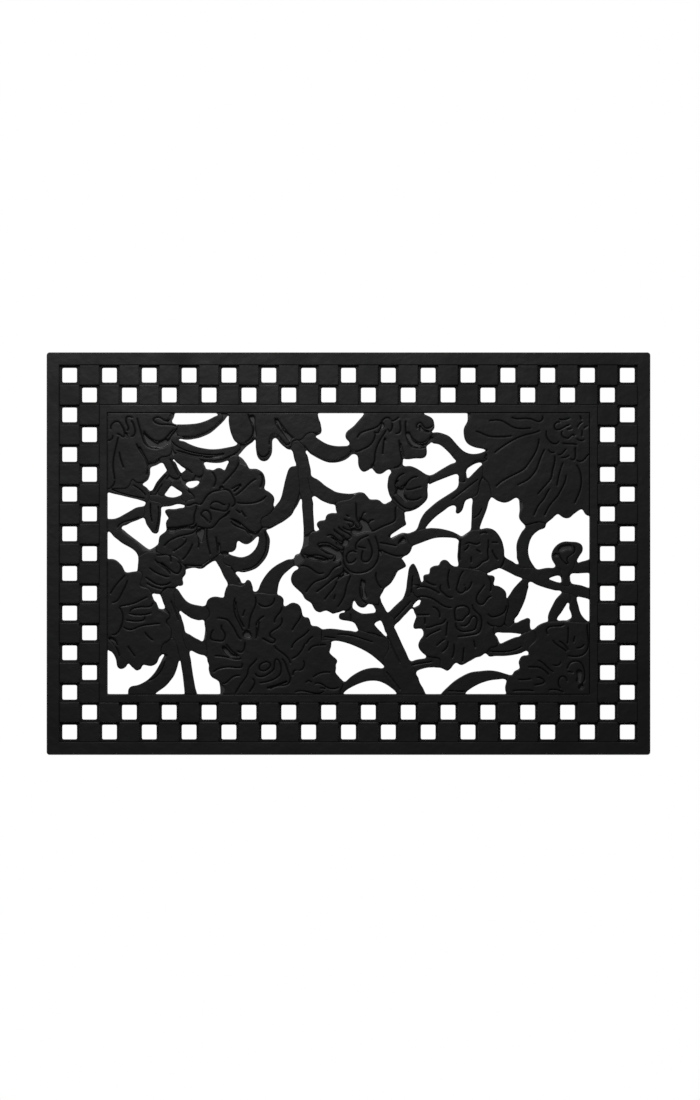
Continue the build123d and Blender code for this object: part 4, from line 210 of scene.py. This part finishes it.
def merged_copy(name, nodes):
    """A visual piece with the CAD nodes' shapes, their doubled vertices joined."""
    piece = bpy.data.objects.new(name, bpy.data.meshes.new(name))
    bpy.context.scene.collection.objects.link(piece)
    shape = bmesh.new()
    for node in nodes:
        shape.from_mesh(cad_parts[node].data)
    bmesh.ops.remove_doubles(shape, verts=shape.verts, dist=JOIN_DISTANCE)
    shape.to_mesh(piece.data)
    shape.free()
    return piece


def press(mesh, ceiling):
    """Lower everything that stands above a height to that height."""
    for vertex in mesh.vertices:
        vertex.co.z = min(vertex.co.z, ceiling)


def bake(piece):
    """Replace the piece's mesh by what its modifiers make of it."""
    graph = bpy.context.evaluated_depsgraph_get()
    made = bpy.data.meshes.new_from_object(piece.evaluated_get(graph))
    piece.modifiers.clear()
    piece.data = made


def soften_border(piece):
    """Round the edges of a border piece a little."""
    bevel = piece.modifiers.new("round", "BEVEL")
    bevel.width = EDGE_ROUND
    bevel.segments = EDGE_SEGMENTS
    bevel.limit_method = "ANGLE"
    bake(piece)
    piece.data.shade_flat()


def swell_walls(mesh, reach):
    """Push upright walls outwards a little, to narrow the gaps, but no further than the reach."""
    count = len(mesh.vertices)
    places = np.empty(count * 3)
    normals = np.empty(count * 3)
    mesh.vertices.foreach_get("co", places)
    mesh.vertices.foreach_get("normal", normals)
    places = places.reshape(count, 3)
    places[:, :2] += normals.reshape(count, 3)[:, :2] * WALL_SWELL
    places[:, :2] = np.clip(places[:, :2], [-side for side in reach], reach)
    mesh.vertices.foreach_set("co", places.ravel())
    mesh.update()


def soften_relief(piece, voxel, keep, reach):
    """Soft moulded edges and grooves within a reach of the centre, keeping this share of the faces."""
    remesh = piece.modifiers.new("remesh", "REMESH")
    remesh.mode = "VOXEL"
    remesh.voxel_size = voxel
    smooth = piece.modifiers.new("smooth", "SMOOTH")
    smooth.factor = SMOOTH_FACTOR
    smooth.iterations = SMOOTH_STEPS
    bake(piece)
    swell_walls(piece.data, reach)
    thin = piece.modifiers.new("thin", "DECIMATE")
    thin.ratio = keep
    bake(piece)
    piece.data.shade_smooth()


def white_floor():
    """The glowing white surface that the mat lies on."""
    bpy.ops.mesh.primitive_plane_add(size=FLOOR_SIZE, location=(0, 0, -FLOOR_DROP))
    floor = bpy.context.object
    floor.name = "floor"
    material = bpy.data.materials.new("white_floor")
    tree = node_tree(material)
    out = tree.nodes.new("ShaderNodeOutputMaterial")
    glow = tree.nodes.new("ShaderNodeEmission")
    glow.inputs["Strength"].default_value = FLOOR_GLOW
    tree.links.new(glow.outputs[0], out.inputs[0])
    floor.data.materials.append(material)


def soft_box():
    """The lamp beyond the mat's far side, turned towards the field."""
    lamp = bpy.data.lights.new("soft_box_far", "AREA")
    lamp.shape = "SQUARE"
    lamp.size = LAMP_SIZE
    lamp.energy = LAMP_POWER
    holder = bpy.data.objects.new("soft_box_far", lamp)
    holder.location = LAMP_PLACE
    towards = Vector(LAMP_AIM) - Vector(LAMP_PLACE)
    holder.rotation_euler = towards.to_track_quat("-Z", "Y").to_euler()
    bpy.context.scene.collection.objects.link(holder)


def studio():
    """Faint even light from all round, and the soft box."""
    world = bpy.data.worlds.new("studio")
    bpy.context.scene.world = world
    world.use_nodes = True
    background = world.node_tree.nodes["Background"]
    background.inputs["Color"].default_value = (1, 1, 1, 1)
    background.inputs["Strength"].default_value = ROOM_GLOW
    soft_box()


def camera():
    """Straight above, with the mat in the middle of a tall frame."""
    lens = bpy.data.cameras.new("camera")
    lens.sensor_fit = "VERTICAL"
    lens.sensor_height = SENSOR
    lens.lens = SENSOR * CAMERA_HEIGHT / VIEW_HEIGHT
    lens.clip_end = CLIP_END
    eye = bpy.data.objects.new("camera", lens)
    eye.location = (*VIEW_CENTRE, CAMERA_HEIGHT)
    bpy.context.scene.collection.objects.link(eye)
    bpy.context.scene.camera = eye


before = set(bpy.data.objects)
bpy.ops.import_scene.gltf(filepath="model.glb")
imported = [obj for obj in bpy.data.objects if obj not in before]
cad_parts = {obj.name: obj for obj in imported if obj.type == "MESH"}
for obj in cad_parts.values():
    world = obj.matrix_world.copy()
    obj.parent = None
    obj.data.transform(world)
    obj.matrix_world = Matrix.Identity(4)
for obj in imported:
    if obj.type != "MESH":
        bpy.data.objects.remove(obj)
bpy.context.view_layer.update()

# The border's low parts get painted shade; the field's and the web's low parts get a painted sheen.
rubbers = {
    "border_rubber": rubber("border_rubber", BORDER_BLACK, SHADED, -0.1, 0.6, 0.25),
    "relief_rubber": rubber("relief_rubber", FIELD_BLACK, LOW_PAINTED_SHEEN, 0.2, 0.55, 0.25),
    "web_rubber": rubber("web_rubber", FIELD_BLACK, LOW_PAINTED_SHEEN, 0.15, 0.45, 0.15),
}

relief = [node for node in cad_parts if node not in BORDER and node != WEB]
field_reach = [max(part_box(node)[1][axis] for node in relief) - FRAME_GROOVE for axis in (0, 1)]
for node in (*BORDER, *relief, WEB):
    if node == LEDGES:
        look = merged_copy(node + "_look", [LEDGES, "checker_pads"])
        press(look.data, LEDGE_TOP)
        soften_relief(look, BACKING_VOXEL, BACKING_KEEP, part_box("outer_rim")[1][:2])
        finish = "border_rubber"
    elif node in BORDER:
        look = merged_copy(node + "_look", [node])
        soften_border(look)
        finish = "border_rubber"
    elif node == WEB:
        look = merged_copy(node + "_look", [*relief, WEB, "inner_frame"])
        press(look.data, BACKING_TOP)
        soften_relief(look, BACKING_VOXEL, BACKING_KEEP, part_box("inner_frame")[1][:2])
        finish = "web_rubber"
    else:
        look = merged_copy(node + "_look", [node])
        soften_relief(look, VOXEL, KEEP_FACES, field_reach)
        finish = "relief_rubber"
    look.data.materials.append(rubbers[finish])
    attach(look, "root")
    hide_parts(node)

white_floor()
studio()
camera()
bpy.context.scene.view_settings.view_transform = "Standard"
